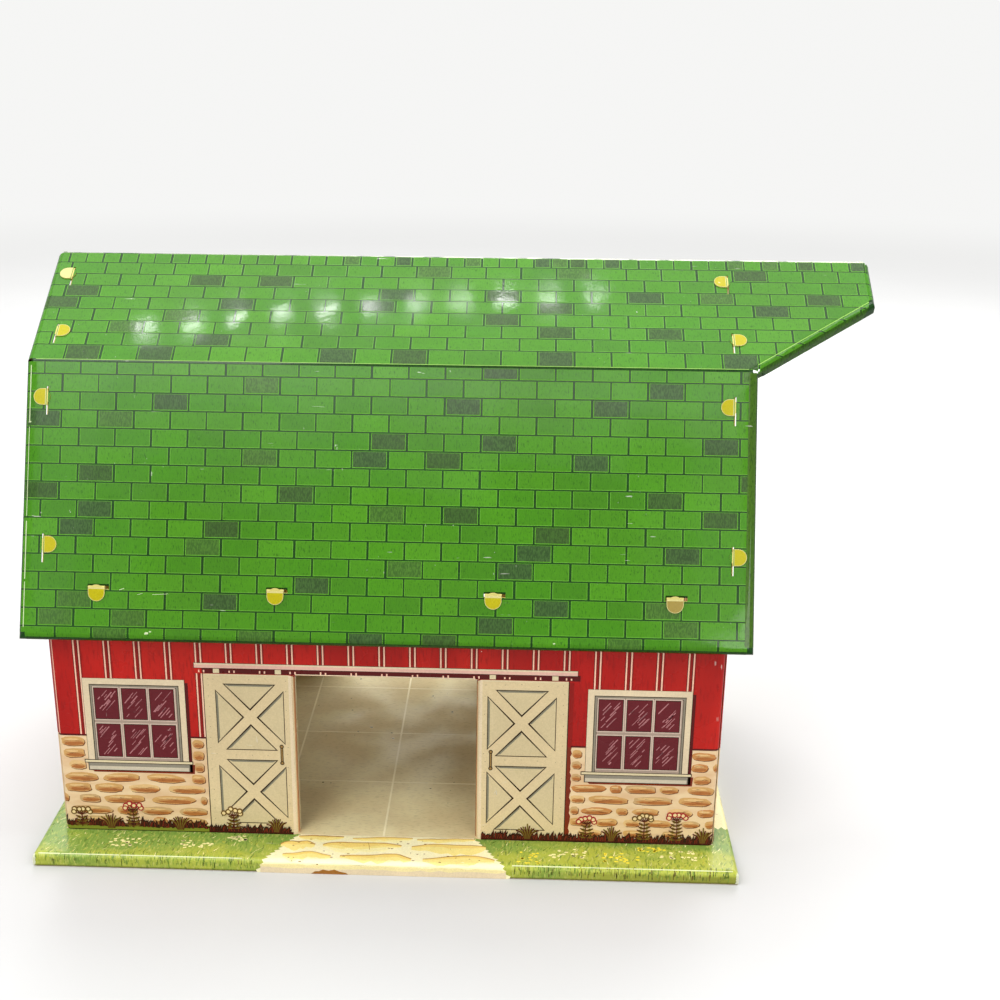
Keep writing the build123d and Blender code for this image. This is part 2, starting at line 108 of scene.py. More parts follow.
# Shader building
class Nodes:
    """A node tree under construction. A value is a number, a colour or a node's socket."""

    def __init__(self, owner):
        owner.use_nodes = True
        self.tree = owner.node_tree
        self.tree.nodes.clear()

    def put(self, value, socket):
        """Gives a socket its value or its link."""
        if isinstance(value, bpy.types.NodeSocket):
            self.tree.links.new(value, socket)
        else:
            socket.default_value = value

    def node(self, kind, settings=(), **inputs):
        """The outputs of a new node."""
        made = self.tree.nodes.new("ShaderNode" + kind)
        for name, value in dict(settings).items():
            setattr(made, name, value)
        for name, value in inputs.items():
            self.put(value, made.inputs[name.replace("_", " ")])
        return made.outputs

    def joined(self, kind, settings, places, values):
        """The outputs of a new node whose inputs are told by their number."""
        made = self.tree.nodes.new("ShaderNode" + kind)
        for name, value in settings.items():
            setattr(made, name, value)
        for place, value in zip(places, values):
            self.put(value, made.inputs[place])
        return made.outputs

    def calc(self, operation, *values):
        """The result of a maths node."""
        return self.joined("Math", {"operation": operation}, range(3), values)[0]

    def product(self, *shares):
        """The product of several shares."""
        result, *rest = shares
        for share in rest:
            result = self.calc("MULTIPLY", result, share)
        return result

    def less(self, value, limit):
        return self.calc("LESS_THAN", value, limit)

    def more(self, value, limit):
        return self.calc("GREATER_THAN", value, limit)

    def larger(self, first, second):
        return self.calc("MAXIMUM", first, second)

    def away(self, value, middle=0.0):
        """A value's distance from a middle."""
        return self.calc("ABSOLUTE", self.calc("SUBTRACT", value, middle))

    def band(self, value, low, high, to_low=0.0, to_high=1.0):
        """A value's band from low to high, stretched smoothly to another and held there."""
        return self.node(
            "MapRange", {"interpolation_type": "SMOOTHSTEP"}, Value=value,
            From_Min=low, From_Max=high, To_Min=to_low, To_Max=to_high,
        )[0]

    def mixed(self, share, first, second, blend="MIX"):
        """Two colours mixed by a share."""
        settings = {"data_type": "RGBA", "blend_type": blend}
        return self.joined("Mix", settings, (0, 6, 7), (share, first, second))[2]

    def mixed_shader(self, share, first, second):
        """Two shaders mixed by a share."""
        return self.joined("MixShader", {}, range(3), (share, first, second))[0]


class Finish(Nodes):
    """A material's nodes, with sockets for the object's place in metres."""

    def __init__(self, name):
        self.material = bpy.data.materials.new(name)
        super().__init__(self.material)
        self.vector = self.node("TexCoord")["Object"]
        self.x, self.y, self.z = self.node("SeparateXYZ", Vector=self.vector)

    def normal(self):
        """The three parts of the surface's normal."""
        return self.node("SeparateXYZ", Vector=self.node("NewGeometry")["Normal"])

    def along_ridge(self):
        """A place's distance along the ridge past the barn's middle."""
        return self.calc("SUBTRACT", self.x, CENTRE.x)

    def noise(self, size, detail=3.0, stretch=(1, 1, 1)):
        """Noise from 0 to 1 whose grain has a size in millimetres, stretched along the axes."""
        scale = [1 / (size * MM * share) for share in stretch]
        scaled = self.node("Mapping", Vector=self.vector, Scale=scale)[0]
        return self.node("TexNoise", Vector=scaled, Scale=1.0, Detail=detail)[0]

    def patches(self, size, detail, low, high, to_low=0.0, to_high=1.0, stretch=(1, 1, 1)):
        """A band of noise."""
        return self.band(self.noise(size, detail, stretch), low, high, to_low, to_high)


TIN_COLOUR = screen(226, 224, 214)
DIRT_COLOUR = screen(58, 44, 26)
VARNISH_SHINE = 0.24
PEEL_HEIGHT = 0.007       # height of the varnish's fine ripple, mm
WAVE_HEIGHT = 0.07        # height of the sheet's slow waves, mm
BARE_ROUGH = 0.15         # bare tin is rougher than varnish by this
# Noise: grain in mm, detail, and the stretch along the axes where there is one
LENGTHWAYS_MARKS = (1.1, 2.0, (9, 1, 1))
UPRIGHT_MARKS = (1.3, 2.0, (1, 1, 7))
PEEL = (2.4, 2.0)
WAVES = (26, 1.0)
# Patches: grain in mm, detail, the noise's band, and the values that it is stretched to
MARKED_AREAS = (34, 3.0, 0.52, 0.68)
CHIPPED = (2.6, 4.0, 0.785, 0.8)
SPECKS = (0.9, 2.0, 0.76, 0.8, 0.0, 0.6)
GRIME = (60, 4.0, 0.35, 0.75, 0.0, 0.1)
GLOSS_DRIFT = (22, 4.0, 0.3, 0.7)


def varnished(tree, colour, gloss=0.24):
    """Printed ink under varnish: scratches and chips down to the tin, specks of dirt, slow
    waves in the sheet and a fine ripple. Ends the tree and gives the material."""
    marks = tree.larger(tree.noise(*LENGTHWAYS_MARKS), tree.noise(*UPRIGHT_MARKS))
    marks = tree.band(marks, 0.74, 0.765, 0.0, 0.5)
    scratched = tree.product(marks, tree.patches(*MARKED_AREAS))
    bare = tree.larger(scratched, tree.patches(*CHIPPED))
    dirt = tree.larger(tree.patches(*SPECKS), tree.patches(*GRIME))
    colour = tree.mixed(dirt, colour, DIRT_COLOUR)
    colour = tree.mixed(bare, colour, TIN_COLOUR)
    rough = tree.patches(*GLOSS_DRIFT, gloss * 0.8, gloss * 1.35)
    rough = tree.calc("ADD", rough, tree.product(bare, BARE_ROUGH))
    peel = tree.product(tree.noise(*PEEL), PEEL_HEIGHT * MM)
    waves = tree.product(tree.noise(*WAVES), WAVE_HEIGHT * MM)
    height = tree.calc("ADD", peel, waves)
    bump = tree.node("Bump", Height=height, Strength=1.0, Distance=1.0)[0]
    shader = tree.node(
        "BsdfPrincipled", Base_Color=colour, Roughness=rough, Normal=bump,
        Metallic=tree.product(bare, 0.8), Specular_IOR_Level=VARNISH_SHINE,
    )
    tree.node("OutputMaterial", Surface=shader[0])
    return tree.material


INK_GRAIN = (0.6, 3.0, 0.25, 0.75)
INK_DRIFT = (28, 2.0, 0.3, 0.7, 0.95, 1.05)
PLAIN_GRAIN = (1, 1, 1)
SLOPE_GRAIN = (1, 3, 3)
UPRIGHT_GRAIN = (1, 1, 6)


def ink(name, colour, mottle=0.08, grain=PLAIN_GRAIN, fleck=None, share=0.0, gloss=0.24):
    """Printing ink: a colour with a slow drift, a fine grain that may be drawn out along an
    axis, and flecks of a second colour over a share of the surface."""
    tree = Finish(name)
    fine = tree.patches(*INK_GRAIN, 1 - mottle, 1 + mottle, grain)
    tone = tree.product(fine, tree.patches(*INK_DRIFT))
    shades = tree.node("CombineColor", Red=tone, Green=tone, Blue=tone)[0]
    tinted = tree.mixed(1.0, colour, shades, "MULTIPLY")
    if fleck:
        edge = 0.7 - 0.4 * share
        spots = tree.patches(0.5, 3.0, edge - 0.09, edge + 0.09, 0.0, 0.85, grain)
        tinted = tree.mixed(spots, tinted, fleck)
    return varnished(tree, tinted, gloss)


# Sheets laid flat
# A point on a sheet is (u, v): u to the right and v up, or down a slope, seen from outside.
# A surface's place function takes it round the sheet's bends and gives point and normal.
Surface = namedtuple("Surface", "place breaks keep")


def always(u, v):
    """Keeps every place."""
    return True


def roll(along, edge, radius):
    """How an edge rolled square to the sheet takes a place: along, depth and turn."""
    past = abs(along) - (edge - radius)
    if past <= 0:
        return along, 0.0, 0.0
    turn = min(past / radius, pi / 2)
    out = edge - radius + radius * sin(turn)
    depth = radius * (1 - cos(turn)) + max(0.0, past - radius * pi / 2)
    side = 1 if along > 0 else -1
    return side * out, depth, side * turn


def roll_steps(edge, radius):
    """Places along a rolled edge where its flat steps meet."""
    return [edge - radius + radius * pi / 2 * i / ARC_STEPS for i in range(ARC_STEPS + 1)]


def lines(normal, places):
    """Break lines square to a direction."""
    return [(normal[0], normal[1], place) for place in places]


def up_slope(side, pitch):
    """A roof slope's outward normal."""
    return Vector((0, side * sin(pitch), cos(pitch)))


def down_slope(side, pitch):
    """The direction down a roof slope."""
    return Vector((0, side * cos(pitch), -sin(pitch)))


RIDGE_LEG = FOLD_BEND * tan(UPPER_PITCH)
CREASE_TURN = LOWER_PITCH - UPPER_PITCH
CREASE_LEG = FOLD_BEND * tan(CREASE_TURN / 2)
HOOD_LENGTH = hypot(HOOD_TIP - ROOF_END, UPPER_SLOPE - HOOD_NOSE)
HOOD_NORMAL = Vector(((UPPER_SLOPE - HOOD_NOSE), (HOOD_TIP - ROOF_END))) / HOOD_LENGTH
HOOD_LINE = HOOD_NORMAL.dot(Vector((ROOF_END, UPPER_SLOPE)))
HOOD_REGION = ROOF_END + 2.0    # the hood's slanted edge matters only beyond this place
NOTCH_CLEAR = 1.4               # print stops this far from a notch


def roof_profile(side, v):
    """A roof half's point and pitch at a distance from the ridge, before the eave's roll."""
    crease = Vector((0, side * CREASE_HALF, CREASE_HEIGHT))
    if v < RIDGE_LEG:
        pitch = UPPER_PITCH * v / RIDGE_LEG
        middle = Vector((0, 0, RIDGE_HEIGHT - FOLD_BEND / cos(UPPER_PITCH)))
        return middle + up_slope(side, pitch) * FOLD_BEND, pitch
    if v < UPPER_SLOPE - CREASE_LEG:
        ridge = Vector((0, 0, RIDGE_HEIGHT))
        return ridge + down_slope(side, UPPER_PITCH) * v, UPPER_PITCH
    if v < UPPER_SLOPE + CREASE_LEG:
        share = (v - UPPER_SLOPE + CREASE_LEG) / (2 * CREASE_LEG)
        pitch = UPPER_PITCH + CREASE_TURN * share
        half = UPPER_PITCH + CREASE_TURN / 2
        middle = crease - up_slope(side, half) * FOLD_BEND / cos(CREASE_TURN / 2)
        return middle + up_slope(side, pitch) * FOLD_BEND, pitch
    return crease + down_slope(side, LOWER_PITCH) * (v - UPPER_SLOPE), LOWER_PITCH


def roof_half(side):
    """One half of the roof, from the ridge over the crease and round the eave's roll, with
    the rolled ends and the hood's slanted edge. u runs along +X on both sides."""
    def place(u, v):
        along, eave_depth, eave_turn = roll(v, EAVE, ROLL_BEND)
        point, pitch = roof_profile(side, along)
        normal, down = up_slope(side, pitch), down_slope(side, pitch)
        on_hood = v < UPPER_SLOPE and u > 0
        x, end_depth, end_turn = roll(u, HOOD_TIP if on_hood else ROOF_END, ROLL_BEND)
        point = point + Vector((x, 0, 0)) - normal * (eave_depth + end_depth)
        turned = normal * cos(eave_turn + end_turn)
        turned += down * sin(eave_turn) + Vector((sin(end_turn), 0, 0))
        slant = HOOD_NORMAL.x * u + HOOD_NORMAL.y * v
        if on_hood and u > HOOD_REGION - 2 * ROLL_BEND and slant > HOOD_LINE - ROLL_BEND:
            out, depth, turn = roll(slant, HOOD_LINE, ROLL_BEND)
            across = Vector((HOOD_NORMAL.x, 0, 0)) + down * HOOD_NORMAL.y
            point = point + across * (out - slant) - normal * depth
            turned = normal * cos(turn) + across * sin(turn)
        return point, turned.normalized()

    lip = EDGE_DEPTH - ROLL_BEND
    ends = roll_steps(ROOF_END, ROLL_BEND)
    tips = roll_steps(HOOD_TIP, ROLL_BEND)
    slants = roll_steps(HOOD_LINE, ROLL_BEND)
    eaves = roll_steps(EAVE, ROLL_BEND)
    folds = [RIDGE_LEG, UPPER_SLOPE - CREASE_LEG, UPPER_SLOPE, UPPER_SLOPE + CREASE_LEG]
    end_stop, tip_stop = ends[-1] + lip, tips[-1] + lip
    slant_stop, eave_stop = slants[-1] + lip, eaves[-1] + lip

    def keep(u, v):
        if v > eave_stop or u < -end_stop:
            return False
        if v > eaves[0] and abs(u) > ends[0]:
            return False
        near_notch = abs(v - UPPER_SLOPE) < NOTCH_CLEAR or v < NOTCH_CLEAR
        if near_notch and u < -ends[0]:
            return False
        if v > UPPER_SLOPE:
            return u < end_stop and not (near_notch and u > ends[0])
        slant = HOOD_NORMAL.x * u + HOOD_NORMAL.y * v
        if u > tips[0]:
            return slant < slants[0] and u < tip_stop and v > NOTCH_CLEAR
        return slant < slant_stop or u < HOOD_REGION - ROLL_BEND

    breaks = lines((0, 1), folds + eaves + [eave_stop])
    breaks += lines((1, 0), ends + [end_stop]) + lines((-1, 0), ends + [end_stop])
    breaks += lines((1, 0), tips + [tip_stop]) + lines(HOOD_NORMAL, slants + [slant_stop])
    return Surface(place, breaks, keep)


def facing(turns):
    """Turns a long wall's outward frame to another side: 0 front, 1 right, 2 back, 3 left."""
    return Matrix.Rotation(turns * pi / 2, 3, "Z")


def long_wall(turns):
    """Outside of a long wall; v is the height above the table."""
    matrix = facing(turns)

    def place(u, v):
        x, depth, turn = roll(u, HALF_LENGTH, WALL_BEND)
        point = Vector((x, depth - HALF_SPACING, v))
        return matrix @ point, matrix @ Vector((sin(turn), -cos(turn), 0))

    steps = roll_steps(HALF_LENGTH, WALL_BEND)
    steps.append(steps[-1] + SIDE_FLANGE - WALL_BEND)
    breaks = lines((1, 0), steps) + lines((-1, 0), steps)
    return Surface(place, breaks, lambda u, v: abs(u) < steps[-1])


def end_wall(turns):
    """Outside of an end wall."""
    matrix = facing(turns)

    def place(u, v):
        return matrix @ Vector((u, -END_FACE, v)), matrix @ Vector((0, -1, 0))

    return Surface(place, [], always)


def jamb(turns, half, face, side):
    """A doorway's turned jamb: u is the distance past the start of its bend."""
    matrix = facing(turns)

    def place(u, v):
        turn = min(u / JAMB_BEND, pi / 2)
        depth = JAMB_BEND * (1 - cos(turn)) + max(0.0, u - JAMB_BEND * pi / 2)
        x = side * (half + JAMB_BEND - JAMB_BEND * sin(turn))
        normal = Vector((-side * sin(turn), -cos(turn), 0))
        return matrix @ Vector((x, depth - face, v)), matrix @ normal

    return Surface(place, lines((1, 0), roll_steps(JAMB_BEND, JAMB_BEND)), always)


JAMB_RUN = JAMB_BEND * pi / 2 + JAMB_DEPTH - JAMB_BEND


def base_top():
    """The base's top and its four rolled rims; u is X and v is Y."""
    def place(u, v):
        x, depth_x, turn_x = roll(u, BASE_HALF_LENGTH, RIM_BEND)
        y, depth_y, turn_y = roll(v, BASE_HALF_DEPTH, RIM_BEND)
        normal = Vector((sin(turn_x), sin(turn_y), cos(turn_x + turn_y)))
        return Vector((x, y, RIM_HEIGHT - depth_x - depth_y)), normal

    across = roll_steps(BASE_HALF_LENGTH, RIM_BEND)
    along = roll_steps(BASE_HALF_DEPTH, RIM_BEND)
    breaks = lines((1, 0), across) + lines((-1, 0), across)
    breaks += lines((0, 1), along) + lines((0, -1), along)
    return Surface(place, breaks, lambda u, v: abs(u) < across[0] or abs(v) < along[0])


# Polygons on a sheet
def area(polygon):
    """Twice a polygon's signed area."""
    pairs = zip(polygon, polygon[1:] + polygon[:1])
    return sum(a[0] * b[1] - b[0] * a[1] for a, b in pairs)


SLIVER = 1e-4


def split(polygon, line):
    """A polygon's parts before and beyond a line."""
    a, b, offset = line
    gaps = [a * p[0] + b * p[1] - offset for p in polygon]
    if max(gaps) < SLIVER or min(gaps) > -SLIVER:
        return [polygon]
    parts = [[], []]
    for i, point in enumerate(polygon):
        following, gap, next_gap = polygon[(i + 1) % len(polygon)], gaps[i], gaps[(i + 1) % len(polygon)]
        if gap <= SLIVER:
            parts[0].append(point)
        if gap >= -SLIVER:
            parts[1].append(point)
        if (gap < -SLIVER and next_gap > SLIVER) or (gap > SLIVER and next_gap < -SLIVER):
            share = gap / (gap - next_gap)
            crossing = tuple(p + (q - p) * share for p, q in zip(point, following))
            parts[0].append(crossing)
            parts[1].append(crossing)
    return [part for part in parts if len(part) > 2 and abs(area(part)) > SLIVER]


def middle(polygon):
    """The mean of a polygon's corners."""
    count = len(polygon)
    return sum(p[0] for p in polygon) / count, sum(p[1] for p in polygon) / count


def box(left, low, right, high):
    """Rectangle."""
    return [(left, low), (right, low), (right, high), (left, high)]


def without(polygon, hole):
    """A polygon with a rectangle cut out of it, as separate parts."""
    left, low, right, high = hole
    rest, parts = [polygon], []
    for line in ((-1, 0, -left), (1, 0, right), (0, -1, -low), (0, 1, high)):
        kept = []
        for piece in rest:
            for part in split(piece, line):
                u, v = middle(part)
                beyond = line[0] * u + line[1] * v > line[2]
                (parts if beyond else kept).append(part)
        rest = kept
    return parts


def stroke(points, width, closed=False):
    """A line of a width through points: one four-cornered polygon for each run."""
    count = len(points)
    sides = []
    for i in range(count):
        before = points[i - 1] if (i > 0 or closed) else None
        after = points[(i + 1) % count] if (i < count - 1 or closed) else None
        runs = [(before, points[i])] if before else []
        runs += [(points[i], after)] if after else []
        normals = []
        for (ax, ay), (bx, by) in runs:
            length = hypot(bx - ax, by - ay)
            normals.append(((ay - by) / length, (bx - ax) / length))
        nx = sum(n[0] for n in normals) / len(normals)
        ny = sum(n[1] for n in normals) / len(normals)
        reach = width / 2 / max(nx * nx + ny * ny, 0.3)
        (px, py) = points[i]
        sides.append(((px - nx * reach, py - ny * reach), (px + nx * reach, py + ny * reach)))
    last = count if closed else count - 1
    runs = [(sides[i], sides[(i + 1) % count]) for i in range(last)]
    return [[a[0], b[0], b[1], a[1]] for a, b in runs]


def oval(u, v, half_width, half_height, corners=14, wobble=0.0, rng=None, power=1.0):
    """An oval, with a wobbly outline where a random source is given."""
    points = []
    for i in range(corners):
        angle = 2 * pi * i / corners
        reach = 1 + (rng.uniform(-wobble, wobble) if rng else 0)
        c, s = cos(angle), sin(angle)
        x = (abs(c) ** power) * (1 if c > 0 else -1)
        y = (abs(s) ** power) * (1 if s > 0 else -1)
        points.append((u + half_width * reach * x, v + half_height * reach * y))
    return points


def ring(u, v, radius, width, corners=10):
    """A round line."""
    return stroke(oval(u, v, radius, radius, corners), width, closed=True)


# Ink films as meshes
def to_frame(point):
    """A point in millimetres about the base's middle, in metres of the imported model."""
    return point * MM + CENTRE


class Print:
    """Ink films on sheets, gathered into one mesh object."""

    def __init__(self, name, surface, slot="wall_print"):
        self.name, self.surface, self.slot = name, surface, slot
        self.points, self.faces, self.inks, self.materials = [], [], [], []

    def add(self, tone, layer, polygons, surface=None):
        """One film: polygons that meet edge to edge, closed with sides and an underside."""
        surface = surface or self.surface
        material = INKS[tone]
        pieces = list(polygons)
        for line in surface.breaks:
            pieces = [part for piece in pieces for part in split(piece, line)]
        pieces = [piece for piece in pieces if surface.keep(*middle(piece))]
        if not pieces:
            return
        if material not in self.materials:
            self.materials.append(material)
        top, under, loops = {}, {}, []
        for piece in pieces:
            keys = []
            for u, v in piece if area(piece) > 0 else piece[::-1]:
                key = (round(u, 3), round(v, 3))
                if key not in top:
                    point, normal = surface.place(u, v)
                    top[key] = self.point(point + normal * layer * INK_STEP)
                    under[key] = self.point(point - normal * INK_SINK)
                if not keys or key not in (keys[-1], keys[0]):
                    keys.append(key)
            if len(keys) > 2:
                loops.append(keys)
        if not loops:
            return
        first, second, third = (self.points[top[key]] for key in loops[0][:3])
        facing_out = (second - first).cross(third - first)
        u, v = middle(loops[0])
        flip = facing_out.dot(surface.place(u, v)[1]) < 0
        edges = {(a, b) for keys in loops for a, b in zip(keys, keys[1:] + keys[:1])}
        for keys in loops:
            self.face([top[key] for key in keys], material, flip)
            self.face([under[key] for key in reversed(keys)], material, flip)
        for a, b in sorted(edges):
            if (b, a) not in edges:
                self.face([top[b], top[a], under[a], under[b]], material, flip)

    def point(self, point):
        """The number of a new mesh point."""
        self.points.append(to_frame(point))
        return len(self.points) - 1

    def face(self, corners, material, flip):
        """A new face, turned over where asked."""
        self.faces.append(corners[::-1] if flip else corners)
        self.inks.append(self.materials.index(material))

    def make(self):
        """The mesh object, riding on the barn."""
        mesh = bpy.data.meshes.new(self.name)
        mesh.from_pydata(self.points, [], self.faces)
        for material in self.materials:
            mesh.materials.append(material)
        mesh.polygons.foreach_set("material_index", self.inks)
        mesh.polygons.foreach_set("use_smooth", [True] * len(self.faces))
        mesh.set_sharp_from_angle(angle=SMOOTH_ANGLE)
        mesh.update()
        piece = bpy.data.objects.new(self.name, mesh)
        bpy.context.scene.collection.objects.link(piece)
        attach(piece, "root")


class PlateOver:
    """Adds films a number of layers higher."""

    def __init__(self, films, layers):
        self.films, self.layers = films, layers

    def add(self, tone, layer, polygons, surface=None):
        self.films.add(tone, layer + self.layers, polygons, surface)


def rect(films, tone, layer, left, low, right, high):
    """A rectangular film between two corners, given in any order."""
    films.add(tone, layer, [
        box(min(left, right), min(low, high), max(left, right), max(low, high)),
    ])


def rects(films, *rows):
    """Rectangular films: each row is ink, layer, left, low, right and high edge."""
    for row in rows:
        rect(films, *row)


# Inks
INKS = {}
ROOF_GLOSS = 0.06
SHINGLE_GREENS = ((66, 131, 8), (61, 126, 6), (71, 136, 14), (60, 121, 10), (66, 129, 12))
SHINGLE_GRAIN_DARK = (42, 96, 4)
# Inks with flecks: colour, the flecks' colour and their share
MOTTLED_INKS = {
    "shingle_dull": ((68, 112, 34), (50, 88, 26), 0.5),
    "shingle_dark": ((58, 92, 40), (40, 68, 28), 0.5),
    "shingle_brown": ((56, 92, 32), (42, 70, 24), 0.5),
    "olive_reflection": ((60, 98, 8), (36, 70, 4), 0.3),
    "edge_green": ((24, 70, 6), (14, 46, 4), 0.4),
    "hem_shade_green": ((48, 92, 8), (26, 56, 4), 0.4),
}
PLAIN_INKS = {
    "shingle_edge": (84, 150, 26), "wear_and_highlight": (196, 212, 164), "line_pink": (246, 196, 168),
    "fold_highlight": (150, 196, 96), "line_shade": (140, 18, 14), "line_dark": (70, 10, 10),
    "cream": (216, 195, 152), "cream_light": (220, 204, 164), "cream_pink": (226, 206, 172),
    "panel": (208, 190, 148), "outline": (46, 30, 14), "outline_red": (84, 22, 16),
    "grey": (128, 124, 104), "nail": (150, 136, 108), "handle": (148, 116, 66), "pane": (98, 26, 34),
    "glint": (182, 122, 124), "sash": (166, 146, 130), "frame_cream": (222, 202, 168),
    "frame_grey": (140, 132, 114), "sash_line": (208, 184, 166), "sill_blue": (142, 134, 118),
    "rail": (226, 180, 162), "sill_pale": (204, 192, 168), "brown_shade": (120, 40, 20),
    "maroon_deep": (84, 12, 14), "stone": (206, 160, 98), "stone_light": (224, 186, 128),
    "stone_grey": (200, 164, 114), "stone_orange": (198, 134, 74), "stone_soft": (196, 142, 84),
    "stone_shade": (172, 106, 54), "stone_line": (104, 54, 20), "jamb_shade": (150, 88, 44),
    "path_rust": (160, 104, 40), "blade_brown": (104, 92, 38), "jamb_shade_soft": (206, 158, 112),
    "fringe": (72, 22, 14), "fringe_red": (112, 34, 22), "fringe_line": (34, 20, 12),
    "olive": (126, 134, 42), "leaf": (112, 94, 32), "leaf_dark": (82, 30, 16),
    "bloom_red": (160, 38, 40), "bloom_cream": (104, 74, 30), "bloom_heart": (232, 206, 150),
    "path": (253, 244, 196), "path_gold": (247, 216, 120), "path_pale": (255, 243, 178),
    "path_yellow": (252, 232, 144), "path_rim": (234, 214, 176), "path_shade": (246, 230, 166),
    "crack": (190, 144, 74), "crack_dark": (134, 96, 46), "speck": (76, 70, 48),
    "flower_yellow": (248, 228, 70), "flower_pale": (248, 238, 168), "blade_dark": (84, 106, 38),
    "blade_light": (186, 194, 98), "blade_mid": (122, 152, 58), "blade_yellow": (204, 192, 78),
    "rim_highlight": (222, 228, 174), "tab_gold": (178, 168, 4), "tab_wear_and_highlight": (206, 196, 128),
    "tab_rust": (150, 130, 56),
}


def define_inks():
    """Every printing ink, by name."""
    grain = screen(*SHINGLE_GRAIN_DARK)
    for i, tone in enumerate(SHINGLE_GREENS):
        name = f"shingle_{i}"
        INKS[name] = ink(name, screen(*tone), 0.07, SLOPE_GRAIN, grain, 0.18, ROOF_GLOSS)
    for name, (tone, fleck, share) in MOTTLED_INKS.items():
        INKS[name] = ink(name, screen(*tone), 0.1, SLOPE_GRAIN, screen(*fleck), share, ROOF_GLOSS)
    for name, tone in PLAIN_INKS.items():
        INKS[name] = ink(name, screen(*tone), 0.06)
    INKS["floor_line"] = ink("floor_line", screen(252, 240, 200), 0.03, gloss=0.55)
    INKS["concrete"] = concrete()


# Shingles
SHINGLE_WIDTH = 15.35
SHINGLE_ROW = 7.59
FIRST_ROW = 7.1           # first row line, from the ridge
ROW_SHIFT = 0.4           # joint of the even rows, from the barn's middle
TOP_ROW_SHIFT = -1.7
TOP_ROW_EDGE = 0.9
ROW_JOINT = 0.6
SIDE_JOINT = 0.85
JOINT_SWAY = 0.15         # how far a joint may lie off its place
ROW_REACH = 8.0           # rows run this far past the roof's ends, over the rolled edges
FOLD_ROW = 8              # the joint below this row lies just under the fold
FOLD_JOINT = (69.3, 70.4)
EDGE_SIDE, EDGE_TOP, EDGE_FOOT = 0.3, 0.15, 0.35   # pale border of a shingle
SLOT_WIDTH = 0.95
SLOT_HALF_LENGTH = 6.0
SLOT_SHIFT = 1.6          # slots reach further down than up
EAVE_SLOT = (-3.9, 5.1)   # ends of an eave tab's slot, from the tab's middle
ROW_COUNT = 25
# Darkened shingles of the front, by row and by place along the row
DARK_SHINGLES = {
    0: (-21, 3, 62, 78, 95, 148, 178, 190, 200), 1: (15, 77, 155), 2: (-85, -54),
    3: (-139, 0, 46, 108, 139, 186), 4: (-145, -69, -9, 69, 163), 5: (-92, 46),
    6: (69, 116), 7: (-77,), 8: (-130, -99, -23, 8, 69, 146), 9: (46,), 10: (-54, 115),
    11: (-92, 31, 92), 12: (-146, -115), 13: (0, 46, 139), 14: (-54, -8, 23, 84),
    15: (-122, 150), 16: (-146, -38, 115), 17: (-123, -2, 31, 139), 18: (-131, -69, 69),
    19: (-76, 62, 123), 20: (54,), 21: (-29,), 22: (-67, 69), 23: (46, 123),
    24: (-54, -8, 23),
}
DULL_SHINGLES = {
    0: (31, 70, 164), 3: (108,), 6: (-115,), 9: (150,), 14: (-8,), 16: (-38,), 17: (139,),
    20: (8,), 22: (-129, 115), 23: (-138, -106), 24: (100, -120),
}
DARK_INKS = ("shingle_dark", "shingle_dark", "shingle_brown", "shingle_dull")
BACK_DARK_SHARE = 0.09


def roof_slot_boxes():
    """The roof's slots on one slope, as left, upper, right and lower edges."""
    slots = []
    for v in TAB_PLACES:
        centre, half = v + SLOT_SHIFT, SLOT_WIDTH / 2
        for x in (-END_FACE + TIN / 2, END_FACE - TIN / 2):
            slots.append((x - half, centre - SLOT_HALF_LENGTH, x + half, centre + SLOT_HALF_LENGTH))
    eave_v = EAVE - (EAVE_HALF - HALF_SPACING + TIN / 2) / cos(LOWER_PITCH)
    reach = SLOT_WIDTH / cos(LOWER_PITCH) / 2
    for x in EAVE_TABS:
        slots.append((x + EAVE_SLOT[0], eave_v - reach, x + EAVE_SLOT[1], eave_v + reach))
    return slots


def shingle_tone(row, left, right, side, rng):
    """The name of one shingle's ink."""
    fresh = f"shingle_{rng.choice((0, 0, 1, 1, 2, 3, 4, 4))}"
    dark = rng.choice(DARK_INKS)
    if side > 0:
        return dark if rng.random() < BACK_DARK_SHARE else fresh
    if any(left < place < right for place in DARK_SHINGLES.get(row, ())):
        return dark
    if any(left < place < right for place in DULL_SHINGLES.get(row, ())):
        return "shingle_dull"
    return fresh


def row_limits(row):
    """Upper and lower edge of a row of shingles, from the ridge."""
    low = FIRST_ROW + SHINGLE_ROW * (row - 1) + ROW_JOINT / 2 if row else TOP_ROW_EDGE
    high = FIRST_ROW + SHINGLE_ROW * row - ROW_JOINT / 2
    if row == FOLD_ROW:
        high = FOLD_JOINT[0]
    if row == FOLD_ROW + 1:
        low = FOLD_JOINT[1]
    return low, high


def cut_round(polygon, slots):
    """A polygon's parts without the slots that it meets."""
    parts = [polygon]
    for slot in slots:
        parts = [rest for part in parts for rest in without(part, slot)]
    return parts


